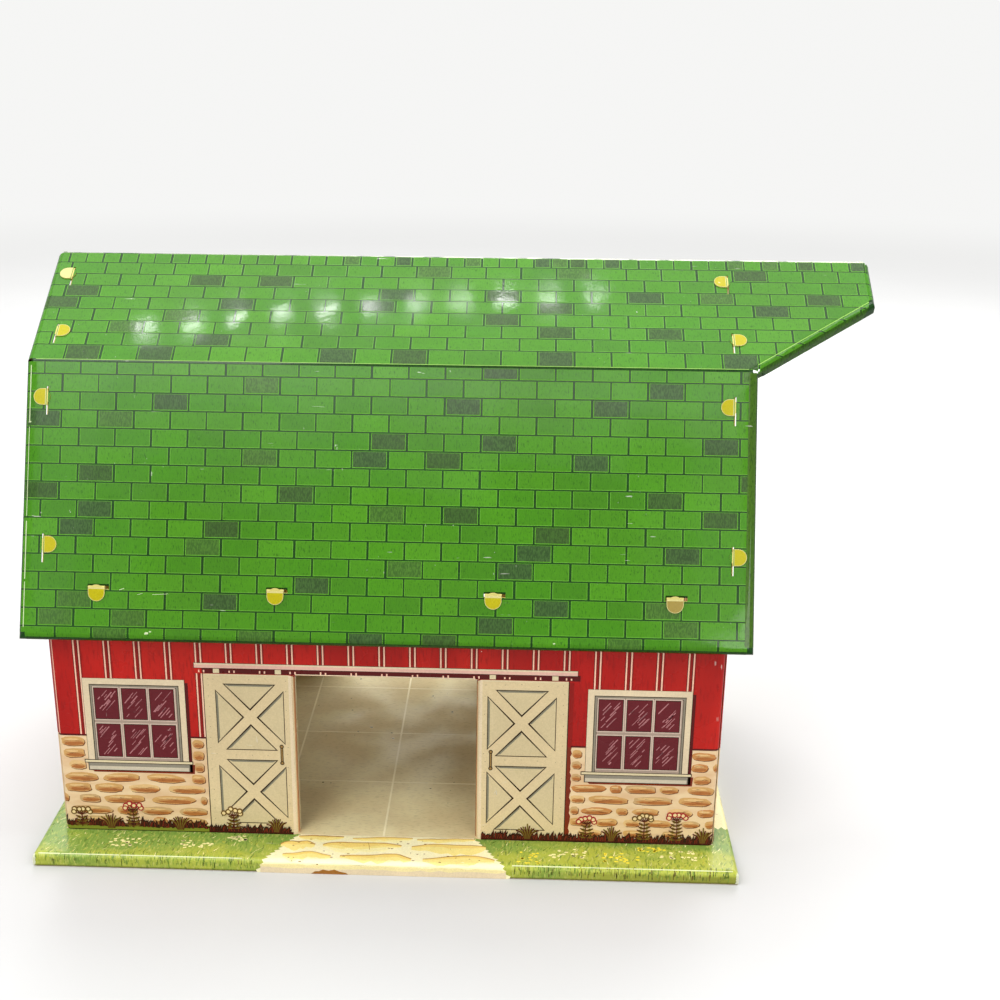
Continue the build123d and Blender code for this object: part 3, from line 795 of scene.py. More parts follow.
def shingles(name, side, seed):
    """One half of the roof's print: rows of shingles in running bond, painted shade and highlights at
    the edges and the fold.
    """
    rng = random.Random(seed)
    films = Print(name, roof_half(side), "roof_print")
    slots = roof_slot_boxes()
    for row in range(ROW_COUNT):
        low, high = row_limits(row)
        width = SHINGLE_WIDTH / (1 if row else 2)
        shift = (ROW_SHIFT - (row % 2) * width / 2) if row else TOP_ROW_SHIFT
        first = int((-ROOF_END - ROW_REACH - shift) // width)
        last = int((HOOD_TIP + ROW_REACH - shift) // width)
        for column in range(first, last + 1):
            left = shift + column * width + SIDE_JOINT / 2 + rng.uniform(-JOINT_SWAY, JOINT_SWAY)
            right = left + width - SIDE_JOINT
            tone = shingle_tone(row, left, right, side, rng)
            met = [
                slot for slot in slots
                if slot[0] < right and slot[2] > left and slot[1] < high and slot[3] > low
            ]
            body = box(left + EDGE_SIDE, low + EDGE_TOP, right - EDGE_SIDE, high - EDGE_FOOT)
            for part in cut_round(box(left, low, right, high), met):
                films.add("shingle_edge", 1, [part])
            for part in cut_round(body, met):
                films.add(tone, 2, [part])
    roof_edges(films, side, rng)
    roof_scuffs(films, side, rng)
    films.make()


ROLL_OUTER = 0.3          # painted shade on the rolled edges starts this far inside the edge
ROLL_END = 4.2            # and ends this far past it, measured round the roll
ROLL_CORNER = 3.0         # it stays this far from the roof's corners
HEM_STOP = (ROOF_END + 1.5, UPPER_SLOPE - 1.2)   # where the hood's slanted hem ends
HEM_HIGHLIGHT = (2.5, 2.15)    # the painted highlight along the hem lies this far inside it
REFLECTION_START = 149.4       # the front's painted olive reflection on the right end's roll starts here
EAVE_SHADE = 0.9           # the painted shade along the eave's edge is this wide
BEND_HIGHLIGHT_INSET = 2.2          # the painted highlight along the left end's bend lies this far inside it
BEND_HIGHLIGHT_START = FOLD_JOINT[1] + 1.5
BEND_HIGHLIGHT_STOP = EAVE - 5
FOLD_HIGHLIGHT = (4, UPPER_SLOPE - 0.2, UPPER_SLOPE + 0.05)   # painted highlight on the fold: inset, upper, lower edge


def roof_edges(films, side, rng):
    """Painted shade round the rolled edges and the hood's hem, painted highlights along the left end's
    bend, the fold and the hem, and the dark joint under the fold.
    """
    inner, outer = ROOF_END - ROLL_OUTER, ROOF_END + ROLL_END
    corner, foot = ROOF_END - ROLL_CORNER, EAVE - ROLL_CORNER
    under_crease = UPPER_SLOPE + NOTCH_CLEAR
    hood = (HOOD_TIP - ROLL_OUTER, NOTCH_CLEAR, HOOD_TIP + ROLL_END, HOOD_NOSE - ROLL_CORNER)
    # painted shade on the eave's roll, the ends' rolls and the hood's tip
    rects(
        films,
        ("edge_green", 3, -corner, EAVE - EAVE_SHADE, corner, EAVE + ROLL_END),
        ("edge_green", 3, -outer, NOTCH_CLEAR, -inner, UPPER_SLOPE),
        ("edge_green", 3, -outer, under_crease, -inner, foot),
        ("edge_green", 3, inner, under_crease, outer, foot),
        ("edge_green", 3, *hood),
    )
    tangent = Vector((-HOOD_NORMAL.y, HOOD_NORMAL.x))
    nose, stop = (tangent.dot(Vector(at)) for at in ((HOOD_TIP, HOOD_NOSE), HEM_STOP))

    def along_hem(first, last):
        corners = ((first, nose), (first, stop), (last, stop), (last, nose))
        return [tuple(HOOD_NORMAL * across + tangent * along) for across, along in corners]

    # painted shade on the hood's rolled hem
    films.add("hem_shade_green", 3, [along_hem(HOOD_LINE - ROLL_OUTER, HOOD_LINE + ROLL_END)])
    # painted highlight along the hem's bend
    films.add("fold_highlight", 3, [along_hem(*(HOOD_LINE - inset for inset in HEM_HIGHLIGHT))])
    # painted olive reflection along the front's right end roll
    if side < 0:
        rect(films, "olive_reflection", 3, REFLECTION_START, FOLD_JOINT[1], inner, foot)
    # painted highlight along the left end's bend, in broken lengths
    u, v = BEND_HIGHLIGHT_INSET - ROOF_END, BEND_HIGHLIGHT_START
    while v < BEND_HIGHLIGHT_STOP - 1:
        length = rng.uniform(12, 40)
        half = rng.uniform(0.12, 0.24)
        rect(films, "wear_and_highlight", 4, u - half, v, u + half, min(v + length, BEND_HIGHLIGHT_STOP))
        v += length + rng.uniform(0.4, 2.5)
    # painted highlight along the fold
    inset, upper, lower = FOLD_HIGHLIGHT
    rect(films, "fold_highlight", 4, inset - ROOF_END, upper, ROOF_END - inset, lower)
    # dark joint just under the fold, in the green of the painted shade
    rect(films, "edge_green", 3, -corner, FOLD_JOINT[0], corner, FOLD_JOINT[1])


SCRATCHES = 3
# Chips near the eave: place along, place down and half length
CHIPS = ((-99.2, EAVE - 3.4, 0.9), (-97.6, EAVE - 4.1, 0.5), (-151, 96, 0.6), (71, EAVE - 2.8, 0.5))


def roof_scuffs(films, side, rng):
    """White scuffs and chips near the eave."""
    for _ in range(SCRATCHES):
        u, v = rng.uniform(-118, -96), EAVE - rng.uniform(14, 24)
        length = rng.uniform(1.5, 7)
        rise = rng.uniform(-0.8, 0.8)
        scratch = stroke([(u, v), (u + length, v + rise)], rng.uniform(0.1, 0.28))
        films.add("wear_and_highlight", 4, scratch)
    for u, v, size in CHIPS:
        films.add("wear_and_highlight", 4, [oval(u * -side, v, size, size * 0.6, 9, 0.3, rng)])


# Tabs' leaves
LEAF_STRAIGHT = TAB_LENGTH - TAB_WIDTH / 2
LEAF_FLAT = TAB_RADIUS + TIN / 2   # an end tab's leaf is flat from here on
PALE_RIM = 0.22
TAB_LEAN = asin((EAVE_TAB_RISE + TAB_RADIUS - TAB_LIFT) / TAB_LENGTH)
SPECKLED_TAB = 120.5


def leaf_surface(start, along, across):
    """A tab's leaf: u across it and v along it from its fold."""
    normal = across.cross(along)

    def place(u, v):
        return start + across * u + along * v, normal

    return Surface(place, [], always)


def leaf_outline(start, inset):
    """A leaf's outline, square at the fold and half round at the tip."""
    radius = TAB_WIDTH / 2 - inset
    tip = [
        (radius * cos(pi * i / 12), LEAF_STRAIGHT + radius * sin(pi * i / 12))
        for i in range(13)
    ]
    return [(-radius, start), (radius, start)] + tip


def leaf_film(films, start, along, across, first, fold, tone):
    """A leaf's print: pale worn rim, a painted highlight along the fold, coloured middle."""
    surface = leaf_surface(start, along, across)
    films.add("tab_wear_and_highlight", 1, [leaf_outline(first, 0.02)], surface)
    films.add(tone, 2, [leaf_outline(first + fold, PALE_RIM)], surface)


def tab_print():
    """The leaves of the walls' tabs over the roof."""
    rng = random.Random(17)
    films = Print("tab_leaves", None)
    for side in (-1, 1):
        for x in (TIN / 2 - END_FACE, END_FACE - TIN / 2):
            for i, v in enumerate(TAB_PLACES):
                point, pitch = roof_profile(side, v)
                normal, down = up_slope(side, pitch), down_slope(side, pitch)
                along = Vector((1 if i % 2 else -1, 0, 0))
                start = point + Vector((x, 0, 0)) + normal * (TAB_LIFT + TIN)
                across = along.cross(normal)
                tone = "tab_wear_and_highlight" if i == 0 and x < 0 else "tab_gold"
                leaf_film(films, start, along, across, LEAF_FLAT + 0.05, rng.uniform(0.1, 0.35), tone)
        for x in EAVE_TABS:
            lean = LOWER_PITCH + TAB_LEAN
            along = Vector((0, side * cos(lean), -sin(lean)))
            normal = Vector((0, side * sin(lean), cos(lean)))
            across = along.cross(normal)
            fold = TAB_RADIUS + TIN
            fold_y = HALF_SPACING - TIN + fold
            height = CREASE_HEIGHT - (fold_y - CREASE_HALF) * tan(LOWER_PITCH)
            height += EAVE_TAB_RISE / cos(LOWER_PITCH)
            start = Vector((x, side * fold_y, height)) + normal * fold
            tone = "tab_rust" if x == SPECKLED_TAB and side < 0 else "tab_gold"
            leaf_film(films, start, along, across, 0.05, rng.uniform(0.6, 1.1), tone)
    films.make()


# Sheets' own finish
LACQUER = screen(196, 164, 62)
LACQUER_THIN = screen(214, 190, 100)
LACQUER_CLOUDS = (12, 4.0, 0.35, 0.7, 0.0, 1.0, (1, 1, 3))


def lacquer(tree):
    """Colour of the golden lacquer inside, thin in places."""
    return tree.mixed(tree.patches(*LACQUER_CLOUDS), LACQUER, LACQUER_THIN)


def roof_depth(tree):
    """How far a point lies below the roof's outside, in metres, negative beyond it."""
    outward = tree.away(tree.y)
    gaps = []
    for pitch, half, height in (
        (UPPER_PITCH, 0, RIDGE_HEIGHT), (LOWER_PITCH, EAVE_HALF, EAVE_HEIGHT),
    ):
        offset = (half * sin(pitch) + height * cos(pitch)) * MM
        across = tree.product(outward, sin(pitch))
        rise = tree.calc("MULTIPLY_ADD", tree.z, cos(pitch), across)
        gaps.append(tree.calc("SUBTRACT", offset, rise))
    return tree.calc("MINIMUM", *gaps)


ROOF_GROUND = screen(8, 52, 2)
ROOF_GROUND_LIGHT = screen(16, 66, 6)
GROUND_CLOUDS = (3, 3.0, 0.3, 0.7)
RIDGE_WORN = screen(212, 222, 188)
RIDGE_WEAR = (9, 4.0, 0.36, 0.5)
RIDGE_DROPS = (0.62, 0.5)      # the ridge is worn from these heights under its line, mm
WEAR_ALONG = (-0.06, 0.06, 0.25, 1.0)   # wear grows along the ridge, m past the middle
SHEET_INSIDE = (TIN - 0.1, TIN + 0.9)   # depths of the roof's inner face
EAVE_PRINTED = 1.2        # the eaves' rolls are printed inside too, over this width


def roof_sheet():
    """Roof sheet: dark green ground under the shingles, golden lacquer inside, bright worn
    metal along the ridge."""
    tree = Finish("roof_sheet")
    depth = roof_depth(tree)
    inner = tree.product(
        tree.more(depth, SHEET_INSIDE[0] * MM), tree.less(depth, SHEET_INSIDE[1] * MM),
        tree.less(tree.normal()[2], -0.1),
        tree.less(tree.away(tree.y), (EAVE_HALF - EAVE_PRINTED) * MM),
        tree.more(tree.away(tree.away(tree.x, CENTRE.x), ROOF_END * MM), ROLL_BEND * MM),
    )
    ground = tree.mixed(tree.patches(*GROUND_CLOUDS), ROOF_GROUND, ROOF_GROUND_LIGHT)
    ridge = tree.band(tree.z, *((RIDGE_HEIGHT - drop) * MM for drop in RIDGE_DROPS))
    towards_hood = tree.band(tree.along_ridge(), *WEAR_ALONG)
    worn = tree.product(ridge, tree.patches(*RIDGE_WEAR), towards_hood)
    ground = tree.mixed(worn, ground, RIDGE_WORN)
    return varnished(tree, tree.mixed(inner, ground, lacquer(tree)), ROOF_GLOSS)


STONE_LINE = 52.7
TAB_ROOT_DEPTH = 1.4      # tabs are plain from this far under the roof's outside, mm
PAST_FOLD = 0.3           # and green where they lie this far off the wall's plane
BOARD_RED = screen(166, 20, 16)
BOARD_BRIGHT = screen(190, 28, 20)
BOARD_DARK = screen(116, 12, 12)
BOARD_CLOUDS = (30, 2.0, 0.35, 0.65, 0.0, 1.0, (1, 1, 2))
BOARD_GRAIN = (0.8, 4.0, 0.5, 0.75, 0.0, 0.5, UPRIGHT_GRAIN)
MORTAR = screen(232, 204, 162)
MORTAR_DARK = screen(220, 184, 142)
MORTAR_CLOUDS = (5, 4.0, 0.35, 0.7, 0.0, 1.0, (3, 3, 1))
TAB_PLAIN = screen(204, 192, 110)


def wall_sheet(name, axis, face):
    """Wall sheet: red boards over pale mortar outside, golden lacquer inside and on tabs. The
    axis across the wall is 0 for an end wall and 1 for a long one."""
    tree = Finish(name)
    outward = tree.away(tree.y) if axis else tree.away(tree.x, CENTRE.x)
    flat_on = tree.more(tree.away(tree.normal()[axis]), 0.9)
    inside = tree.product(tree.less(outward, (face - TIN + 0.05) * MM), flat_on)
    boards = tree.mixed(tree.patches(*BOARD_CLOUDS), BOARD_RED, BOARD_BRIGHT)
    boards = tree.mixed(tree.patches(*BOARD_GRAIN), boards, BOARD_DARK)
    mortar = tree.mixed(tree.patches(*MORTAR_CLOUDS), MORTAR, MORTAR_DARK)
    printed = tree.mixed(tree.less(tree.z, STONE_LINE * MM), boards, mortar)
    tab = tree.less(roof_depth(tree), TAB_ROOT_DEPTH * MM)
    printed = tree.mixed(tab, printed, TAB_PLAIN)
    if not axis:
        off_plane = tree.more(tree.away(outward, (face - TIN / 2) * MM), PAST_FOLD * MM)
        past_fold = tree.product(tab, off_plane, tree.more(tree.normal()[2], 0.3))
        printed = tree.mixed(past_fold, printed, screen(*SHINGLE_GREENS[1]))
    return varnished(tree, tree.mixed(inside, printed, lacquer(tree)))


GRASS_GREEN = screen(128, 158, 68)
GRASS_YELLOW = screen(176, 184, 68)
GRASS_LIGHT = screen(194, 196, 102)
GRASS_DARK = screen(82, 112, 40)
# painted shade for the rim's foot and, towards the right, for the lower rim
GRASS_FOOT_SHADE = screen(46, 62, 22)
GRASS_LOW_SHADE = screen(92, 88, 30)
GRASS_CLOUDS = (20, 3.0, (1.6, 1, 1))
YELLOW_RIGHT = (-0.13, 0.13, -0.05, 0.07)   # yellowing along the base, m past its middle
YELLOW_OUT = (-0.1, 0.1)                    # and from the walls to the rim
LIGHT_STROKES = (0.9, 3.0, 0.52, 0.68, 0.0, 0.7, (1, 3.6, 2.4))
DARK_STROKES = (1.0, 3.0, 0.3, 0.46, 0.62, 0.0, (1, 3.2, 2.6))


def grass_colour(tree):
    """Painted grass: green near the walls, yellower towards the rim and to the right, with
    light and dark strokes of the brush."""
    right = tree.band(tree.along_ridge(), *YELLOW_RIGHT)
    outward = tree.band(tree.away(tree.y), HALF_SPACING * MM, BASE_HALF_DEPTH * MM, *YELLOW_OUT)
    yellow = tree.calc("ADD", tree.noise(*GRASS_CLOUDS), right)
    yellow = tree.band(tree.calc("ADD", yellow, outward), 0.4, 0.66)
    colour = tree.mixed(yellow, GRASS_GREEN, GRASS_YELLOW)
    colour = tree.mixed(tree.patches(*LIGHT_STROKES), colour, GRASS_LIGHT)
    return tree.mixed(tree.patches(*DARK_STROKES), colour, GRASS_DARK)


WORN_CORNER = 2.4         # the base's corners are worn over this length
WORN_TIN = screen(226, 228, 206)
CORNER_NOISE = (1.2, 4.0)


def base_sheet():
    """Base sheet: painted grass outside with painted shade along the rim's foot and on the lower rim
    towards the right, golden lacquer under it, worn tin at the corners.
    """
    tree = Finish("base_sheet")
    # painted shade along the rim's foot
    foot = tree.band(tree.z, 0.2 * MM, 1.6 * MM, 0.75, 0.0)
    grass = tree.mixed(foot, grass_colour(tree), GRASS_FOOT_SHADE)
    # painted shade on the lower rim, growing towards the right
    low = tree.band(tree.z, 3.0 * MM, 4.4 * MM, 0.5, 0.0)
    right = tree.band(tree.along_ridge(), 0.03, 0.15)
    grass = tree.mixed(tree.product(low, right), grass, GRASS_LOW_SHADE)
    sides = (tree.away(tree.x, CENTRE.x), BASE_HALF_LENGTH), (tree.away(tree.y), BASE_HALF_DEPTH)
    corner = tree.product(*(
        tree.band(out, (edge - WORN_CORNER) * MM, edge * MM) for out, edge in sides
    ))
    ragged = tree.band(tree.calc("ADD", corner, tree.noise(*CORNER_NOISE)), 1.0, 1.1, 0.0, 0.8)
    grass = tree.mixed(ragged, grass, WORN_TIN)
    under = tree.less(tree.normal()[2], -0.5)
    return varnished(tree, tree.mixed(under, grass, lacquer(tree)), 0.3)


def dress_sheets():
    """The six sheets take their own finish."""
    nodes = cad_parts
    long_walls = wall_sheet("long_wall_sheet", 1, HALF_SPACING)
    end_walls = wall_sheet("end_wall_sheet", 0, END_FACE)
    finishes = {
        "roof": roof_sheet(), "base_plate": base_sheet(), "front_wall": long_walls,
        "back_wall": long_walls, "left_end_wall": end_walls, "right_end_wall": end_walls,
    }
    for name, material in finishes.items():
        slots = nodes[name].data.materials
        for i in range(len(slots)):
            slots[i] = material
        if not slots:
            slots.append(material)


# Walls' print
BOARD_PITCH = 13.05
BOARD_START = -132.9
LAST_BOARD_LINE = 135.0   # the long walls have no lines beyond this
PAIR_GAP = 2.1
BESIDE_LEFT_DOOR = BOARD_START + 4 * BOARD_PITCH
LINE_WIDTH = 0.62
LINE_EDGE = 0.28          # dark line along a pale line's left side
PAIR_SHADE = (0.5, 0.95)  # how far the shade reaches past a pair, to the left and right
WALL_TOP = 120.0
WALL_FOOT = 6.3
WINDOW_MIDDLE = 108.4
WINDOW_HALF = 22.05
WINDOW_TOP = 80.2
SILL_TOP = 40.8
RAIL_HALF = 81.65
RAIL_LOW, RAIL_HIGH = 86.2, 88.4
HANGER_INSETS = (9.4, 35.9)   # hangers' places from the rail's end
DOOR_OUTER = 78.2
DOOR_FOOT = 6.9
DOOR_TOP = 83.5


def board_lines(films, half, spans_at):
    """Pairs of pale lines between the boards, each with a dark shade beside it."""
    count = int(half / BOARD_PITCH) + 1
    offset = BOARD_START % BOARD_PITCH
    for i in range(-count, count + 1):
        u = offset + BOARD_PITCH * i
        if abs(u) > half or abs(u + PAIR_GAP) > half:
            continue
        for foot, top in spans_at(u):
            if top - foot < 2:
                continue
            shade = (u - PAIR_SHADE[0], u + PAIR_GAP + PAIR_SHADE[1])
            rect(films, "line_shade", 1, shade[0], foot, shade[1], top)
            for at in (u, u + PAIR_GAP):
                edge = at - LINE_WIDTH / 2
                rect(films, "line_dark", 2, edge - LINE_EDGE, foot, edge, top)
                rect(films, "line_pink", 3, edge, foot, edge + LINE_WIDTH, top)


OUTLINE_SHIFT = (0.35, -0.36)   # a stone's brown line shows at its lower right
LIT_STONE = 2.5           # half length from which a stone has a pale top
SCRATCH_EVERY = 1.3       # half length for each dark scratch


def stone(films, left, right, height, thick, rng, tone):
    """One field stone: brown line at its lower right, body, shaded foot, pale top."""
    u, half = (left + right) / 2, (right - left) / 2
    body = oval(u, height, half, thick / 2, 20, 0.07, rng, rng.uniform(0.6, 0.95))
    slant = rng.uniform(-0.05, 0.05)
    body = [(x, y + (x - u) * slant) for x, y in body]
    line = [(x + OUTLINE_SHIFT[0], y + OUTLINE_SHIFT[1]) for x, y in body]
    films.add("stone_line", 1, [line])
    films.add(tone, 2, [body])
    shade = oval(u + half * 0.1, height - thick * 0.25, half * 0.82, thick * 0.19, 16, 0.2, rng)
    soft = oval(u + half * 0.06, height - thick * 0.14, half * 0.9, thick * 0.3, 16, 0.1, rng)
    films.add("stone_soft", 2.5, [soft])
    films.add("stone_shade", 3, [shade])
    if half > LIT_STONE:
        light = oval(u - half * 0.15, height + thick * 0.2, half * 0.62, thick * 0.13, 14, 0.22, rng)
        films.add("stone_light", 3, [light])
    for _ in range(int(half / SCRATCH_EVERY)):
        a = u + rng.uniform(-0.75, 0.4) * half
        v = height + rng.uniform(-0.34, 0.2) * thick
        b = min(a + rng.uniform(1.2, 4), u + half * 0.8)
        if b - a > 0.8:
            tip = (b, v + rng.uniform(-0.3, 0.3))
            films.add("stone_line", 4, [[(a, v), (a + 0.5, v - 0.16), tip]])


STONE_TONES = ("stone", "stone", "stone", "stone_light", "stone_grey", "stone_orange")
# Rows of stones on the front: height, then the left and right end of each stone
LEFT_STONES = {
    49.8: ((-142, -131.8), (-84.4, -79.6)), 44.2: ((-141.4, -132.2), (-84.4, -79.8)),
    38.4: ((-139.4, -132), (-84.2, -79.8)),
    32.6: ((-141.6, -127), (-125, -109), (-105.6, -88.6), (-85.6, -79.8)),
    27.4: ((-142, -130.6), (-129, -116.6), (-113.8, -100.2), (-96.4, -79.8)),
    22.0: ((-144.5, -141), (-136, -127), (-125.2, -107), (-103.6, -84.4), (-82.4, -79.6)),
    16.4: ((-139.4, -122.4), (-119.6, -110.8), (-109.6, -95.2), (-92, -79.8)),
    11.2: ((-134, -121), (-104, -97.6), (-92, -80)),
}
RIGHT_STONES = {
    49.6: ((80.4, 84.6), (132, 142)), 44.2: ((80.4, 84.4), (132, 139), (141.2, 144.4)),
    38.2: ((80.4, 84.4), (133, 140.4)),
    33.0: ((80.4, 95.4), (97.2, 102.4), (103.8, 117.2), (118.8, 127), (131, 142.4)),
    27.6: ((80.4, 86.4), (88.2, 105.2), (107.6, 124.4), (127.4, 141.4)),
    22.0: ((80.4, 84), (85.4, 98.4), (100.6, 105.4), (107.6, 119), (123, 133.4), (135.6, 144)),
    16.4: ((80.4, 89.4), (91.6, 101), (104, 111), (113, 125), (129, 137), (139.4, 144)),
    11.0: ((84, 94), (104, 115), (121, 128)),
}


def placed_stones(films, rows, thin, thick, seed):
    """Stones at chosen places, of a thickness between two."""
    rng = random.Random(seed)
    for height, row in rows.items():
        for left, right in row:
            stone(films, left, right, height, rng.uniform(thin, thick), rng, rng.choice(STONE_TONES))


STONE_ROW = 5.5
LOWEST_ROW = 9.5
TOP_ROW_DROP = 3.0        # the highest row lies this far under the stones' top
SHORTEST_STONE = 3


def random_stones(films, left, right, top, seed):
    """Rows of stones from one place to another, up to a height."""
    rng = random.Random(seed)
    height = top - TOP_ROW_DROP
    while height > LOWEST_ROW:
        u = left - rng.uniform(0, 5)
        while u < right:
            length = rng.uniform(6, 16)
            a, b = max(u, left), min(u + length, right)
            if b - a > SHORTEST_STONE:
                at = height + rng.uniform(-0.3, 0.3)
                stone(films, a, b, at, rng.uniform(3.5, 4.2), rng, rng.choice(STONE_TONES))
            u += length + rng.uniform(1.6, 3.0)
        height -= STONE_ROW


PANE_COLUMNS = ((-17.2, -7.1), (-5.2, 5.1), (6.9, 17.1))
PANE_ROWS = ((2.3, 17.7), (20.4, 34.8))   # above the sill
REVEALS = ((2.75, "outline"), (3.1, "frame_grey"), (3.9, "outline"), (4.15, "sash"))
PANE_BORDERS = ((0.75, "sash_line"), (0.3, "outline"), (0.0, "pane"))


def window(wall, centre, sill, rng):
    """Printed window: cream frame, grey reveal, mauve sash, six dark panes, a sill."""
    films = PlateOver(wall, 4)
    left, right = centre - WINDOW_HALF, centre + WINDOW_HALF
    top = sill + WINDOW_TOP - SILL_TOP
    rects(
        films,
        ("maroon_deep", 1, right - 0.2, sill - 5.0, right + 1.5, top - 1.4),
        ("outline", 2, left - 0.15, sill - 0.4, right + 0.25, top + 0.05),
        ("frame_cream", 3, left, sill - 0.3, right, top),
    )
    for layer, (inset, tone) in enumerate(REVEALS, 4):
        rect(films, tone, layer, left + inset, sill, right - inset * 0.9, top - inset)
    for a, b in PANE_COLUMNS:
        for c, d in PANE_ROWS:
            pane = (centre + a, sill + c, centre + b, sill + d)
            for layer, (grow, tone) in enumerate(PANE_BORDERS, 8):
                low_left = (pane[0] - grow, pane[1] - grow)
                rect(films, tone, layer, *low_left, pane[2] + grow, pane[3] + grow)
            glints(films, pane, rng)
    films.add("brown_shade", 1, [[
        (left + 0.6, sill - 4.2), (left + 2, sill - 5.6), (right + 2.2, sill - 5.6),
        (right + 2.6, sill - 1.2), (right, sill - 1.2),
    ]])
    rects(
        films,
        ("outline", 4, left - 0.4, sill - 4.8, right + 0.5, sill - 0.8),
        ("sill_blue", 5, left - 0.1, sill - 4.5, right + 0.2, sill - 0.8),
        ("sill_pale", 6, left + 0.1, sill - 4.4, right - 0.2, sill - 2.7),
        ("outline", 8, left - 1.9, sill - 1.15, right + 1.8, sill + 0.45),
        ("cream_light", 9, left - 1.6, sill - 0.85, right + 1.5, sill + 0.15),
    )


GLINTS = 12               # on each pane
GLINT_RUN = (0.62, 0.74)  # a glint's direction


def glints(films, pane, rng):
    """Slanted strokes of light on a pane."""
    left, low, right, high = pane
    for _ in range(GLINTS):
        length = rng.uniform(1.4, 7.0)
        across, up = length * GLINT_RUN[0], length * GLINT_RUN[1]
        u = rng.uniform(left + 0.7, right - 0.7 - across)
        v = rng.uniform(low + 0.8, high - 0.8 - up)
        line = stroke([(u, v), (u + across, v + up)], rng.uniform(0.16, 0.46))
        films.add("glint", 11, line)


SHADE_WIDTH = 0.95
PANEL_LINE = 0.68
UP_LEFT = Vector((-1, 1)).normalized()


def panel_triangle(films, corners):
    """One field of a braced panel: paler filling, shade under its upper left edges, outline."""
    a, b, c = corners if area(corners) > 0 else corners[::-1]
    films.add("panel", 3, [[a, b, c]])
    sides = [Vector(q) - Vector(p) for p, q in ((b, c), (c, a), (a, b))]
    around = sum(side.length for side in sides)
    heart = Vector((0, 0))
    for p, side in zip((a, b, c), sides):
        heart += Vector(p) * side.length
    heart /= around
    share = SHADE_WIDTH * around / abs(area([a, b, c]))
    for p, q in ((a, b), (b, c), (c, a)):
        run = (Vector(q) - Vector(p)).normalized()
        outward = Vector((run.y, -run.x))
        if outward.dot(UP_LEFT) > 0.5:
            inner = [tuple(Vector(at) + (heart - Vector(at)) * share) for at in (q, p)]
            films.add("grey", 4, [[p, q] + inner])
    films.add("outline", 5, stroke([a, b, c], PANEL_LINE, True))


def braced_panel(films, u, v, half_width, half_height, brace):
    """A panel crossed by two braces, as its four triangular fields."""
    wide, tall = half_width - brace, half_height - brace * 0.85
    for sign in (-1, 1):
        end = v + sign * half_height
        panel_triangle(films, [(u - wide, end), (u + wide, end), (u, v + sign * brace)])
        edge = u + sign * half_width
        panel_triangle(films, [(edge, v - tall), (edge, v + tall), (u + sign * brace * 0.85, v)])


X_MIDDLES = (63.3, 27.2)  # heights of the doors' two crossings
PANEL_HALF_WIDTH = 14.6
PANEL_HALF_HEIGHT = 15.55
BRACE = 3.65
HANDLE_LOW, HANDLE_HIGH = 41.6, 49.6
HANDLE_HALF = 0.62
HANDLE_KNOB = 0.95        # radius of its round ends
DOOR_SHADE_TOP = 83.0     # the red shade beside the right door ends here
DOOR_LIP = 82.9           # a pale line along the door's top starts here
NAIL_ROWS = (9.6, 45.4, 81.2)
NAIL_SPAN = (13, 80)      # the nails along a door's sides, from here to there
NAIL_RADIUS = 0.2


def nails(films, places, rng):
    """Small nail heads."""
    for u, v in places:
        at = (u + rng.uniform(-0.3, 0.3), v + rng.uniform(-0.6, 0.6))
        films.add("nail", 3, [oval(*at, NAIL_RADIUS, NAIL_RADIUS, 6)])


def handle(films, u):
    """A door handle: a thin bar with round ends."""
    for grow, tone, layer in ((0.0, "outline", 5), (-0.36, "handle", 6)):
        half = HANDLE_HALF + grow * 0.9
        rect(films, tone, layer, u - half, HANDLE_LOW, u + half, HANDLE_HIGH)
        for v in (HANDLE_LOW, HANDLE_HIGH):
            radius = HANDLE_KNOB + grow
            films.add(tone, layer + 2, [oval(u, v, radius, radius, 12)])


def door(films, surface_jamb, side, rng, opening=DOORWAY_HALF, outer=DOOR_OUTER):
    """Printed door leaf beside a doorway: two braced panels, nails, a handle."""
    inner = opening + JAMB_BEND
    centre = (opening + outer) / 2 - 0.2
    if side > 0:
        rect(films, "line_shade", 1, outer - 0.4, STONE_LINE, outer + 2.1, DOOR_SHADE_TOP)
        ragged = [(outer - 0.4, STONE_LINE), (outer - 0.4, DOOR_FOOT)]
        for i in range(31):
            reach = rng.uniform(1.5, 2.4)
            ragged.append((outer + reach, DOOR_FOOT + (STONE_LINE - DOOR_FOOT) * i / 30))
        films.add("brown_shade", 1, [ragged])
    rects(
        films,
        ("outline", 2, side * (outer - 1), DOOR_FOOT, side * (outer + 0.15), DOOR_TOP),
        ("cream", 3, side * inner, DOOR_FOOT, side * (outer - 0.25), DOOR_TOP),
        ("cream_light", 4, side * inner, DOOR_LIP, side * (outer - 0.35), DOOR_TOP),
    )
    panels = PlateOver(films, 1)
    for z in X_MIDDLES:
        braced_panel(panels, side * centre, z, PANEL_HALF_WIDTH, PANEL_HALF_HEIGHT, BRACE)
    columns = [outer - 2.2, outer - 4.6, centre + 7, centre, centre - 7, inner + 1.2]
    nails(panels, [(side * u, v) for u in columns for v in NAIL_ROWS], rng)
    nails(panels, [(side * (outer - 2.0), v) for v in range(*NAIL_SPAN, 5)], rng)
    nails(panels, [(side * (inner + 1.0), v) for v in range(*NAIL_SPAN, 9)], rng)
    handle(panels, side * (inner + 3.8))
    jamb_strip(films, surface_jamb)


# A jamb's strips of print: ink, layer, start and end past the start of its bend
JAMB_STRIPS = (
    ("cream_light", 1, 0, JAMB_RUN - 0.2), ("cream_pink", 2, 0.15, 1.4),
    # painted shade round the jamb's bend, darkest in a line
    ("jamb_shade_soft", 2, 2.2, 4.3), ("jamb_shade", 3, 2.9, 3.3), ("outline_red", 2, 4.3, 4.6),
)


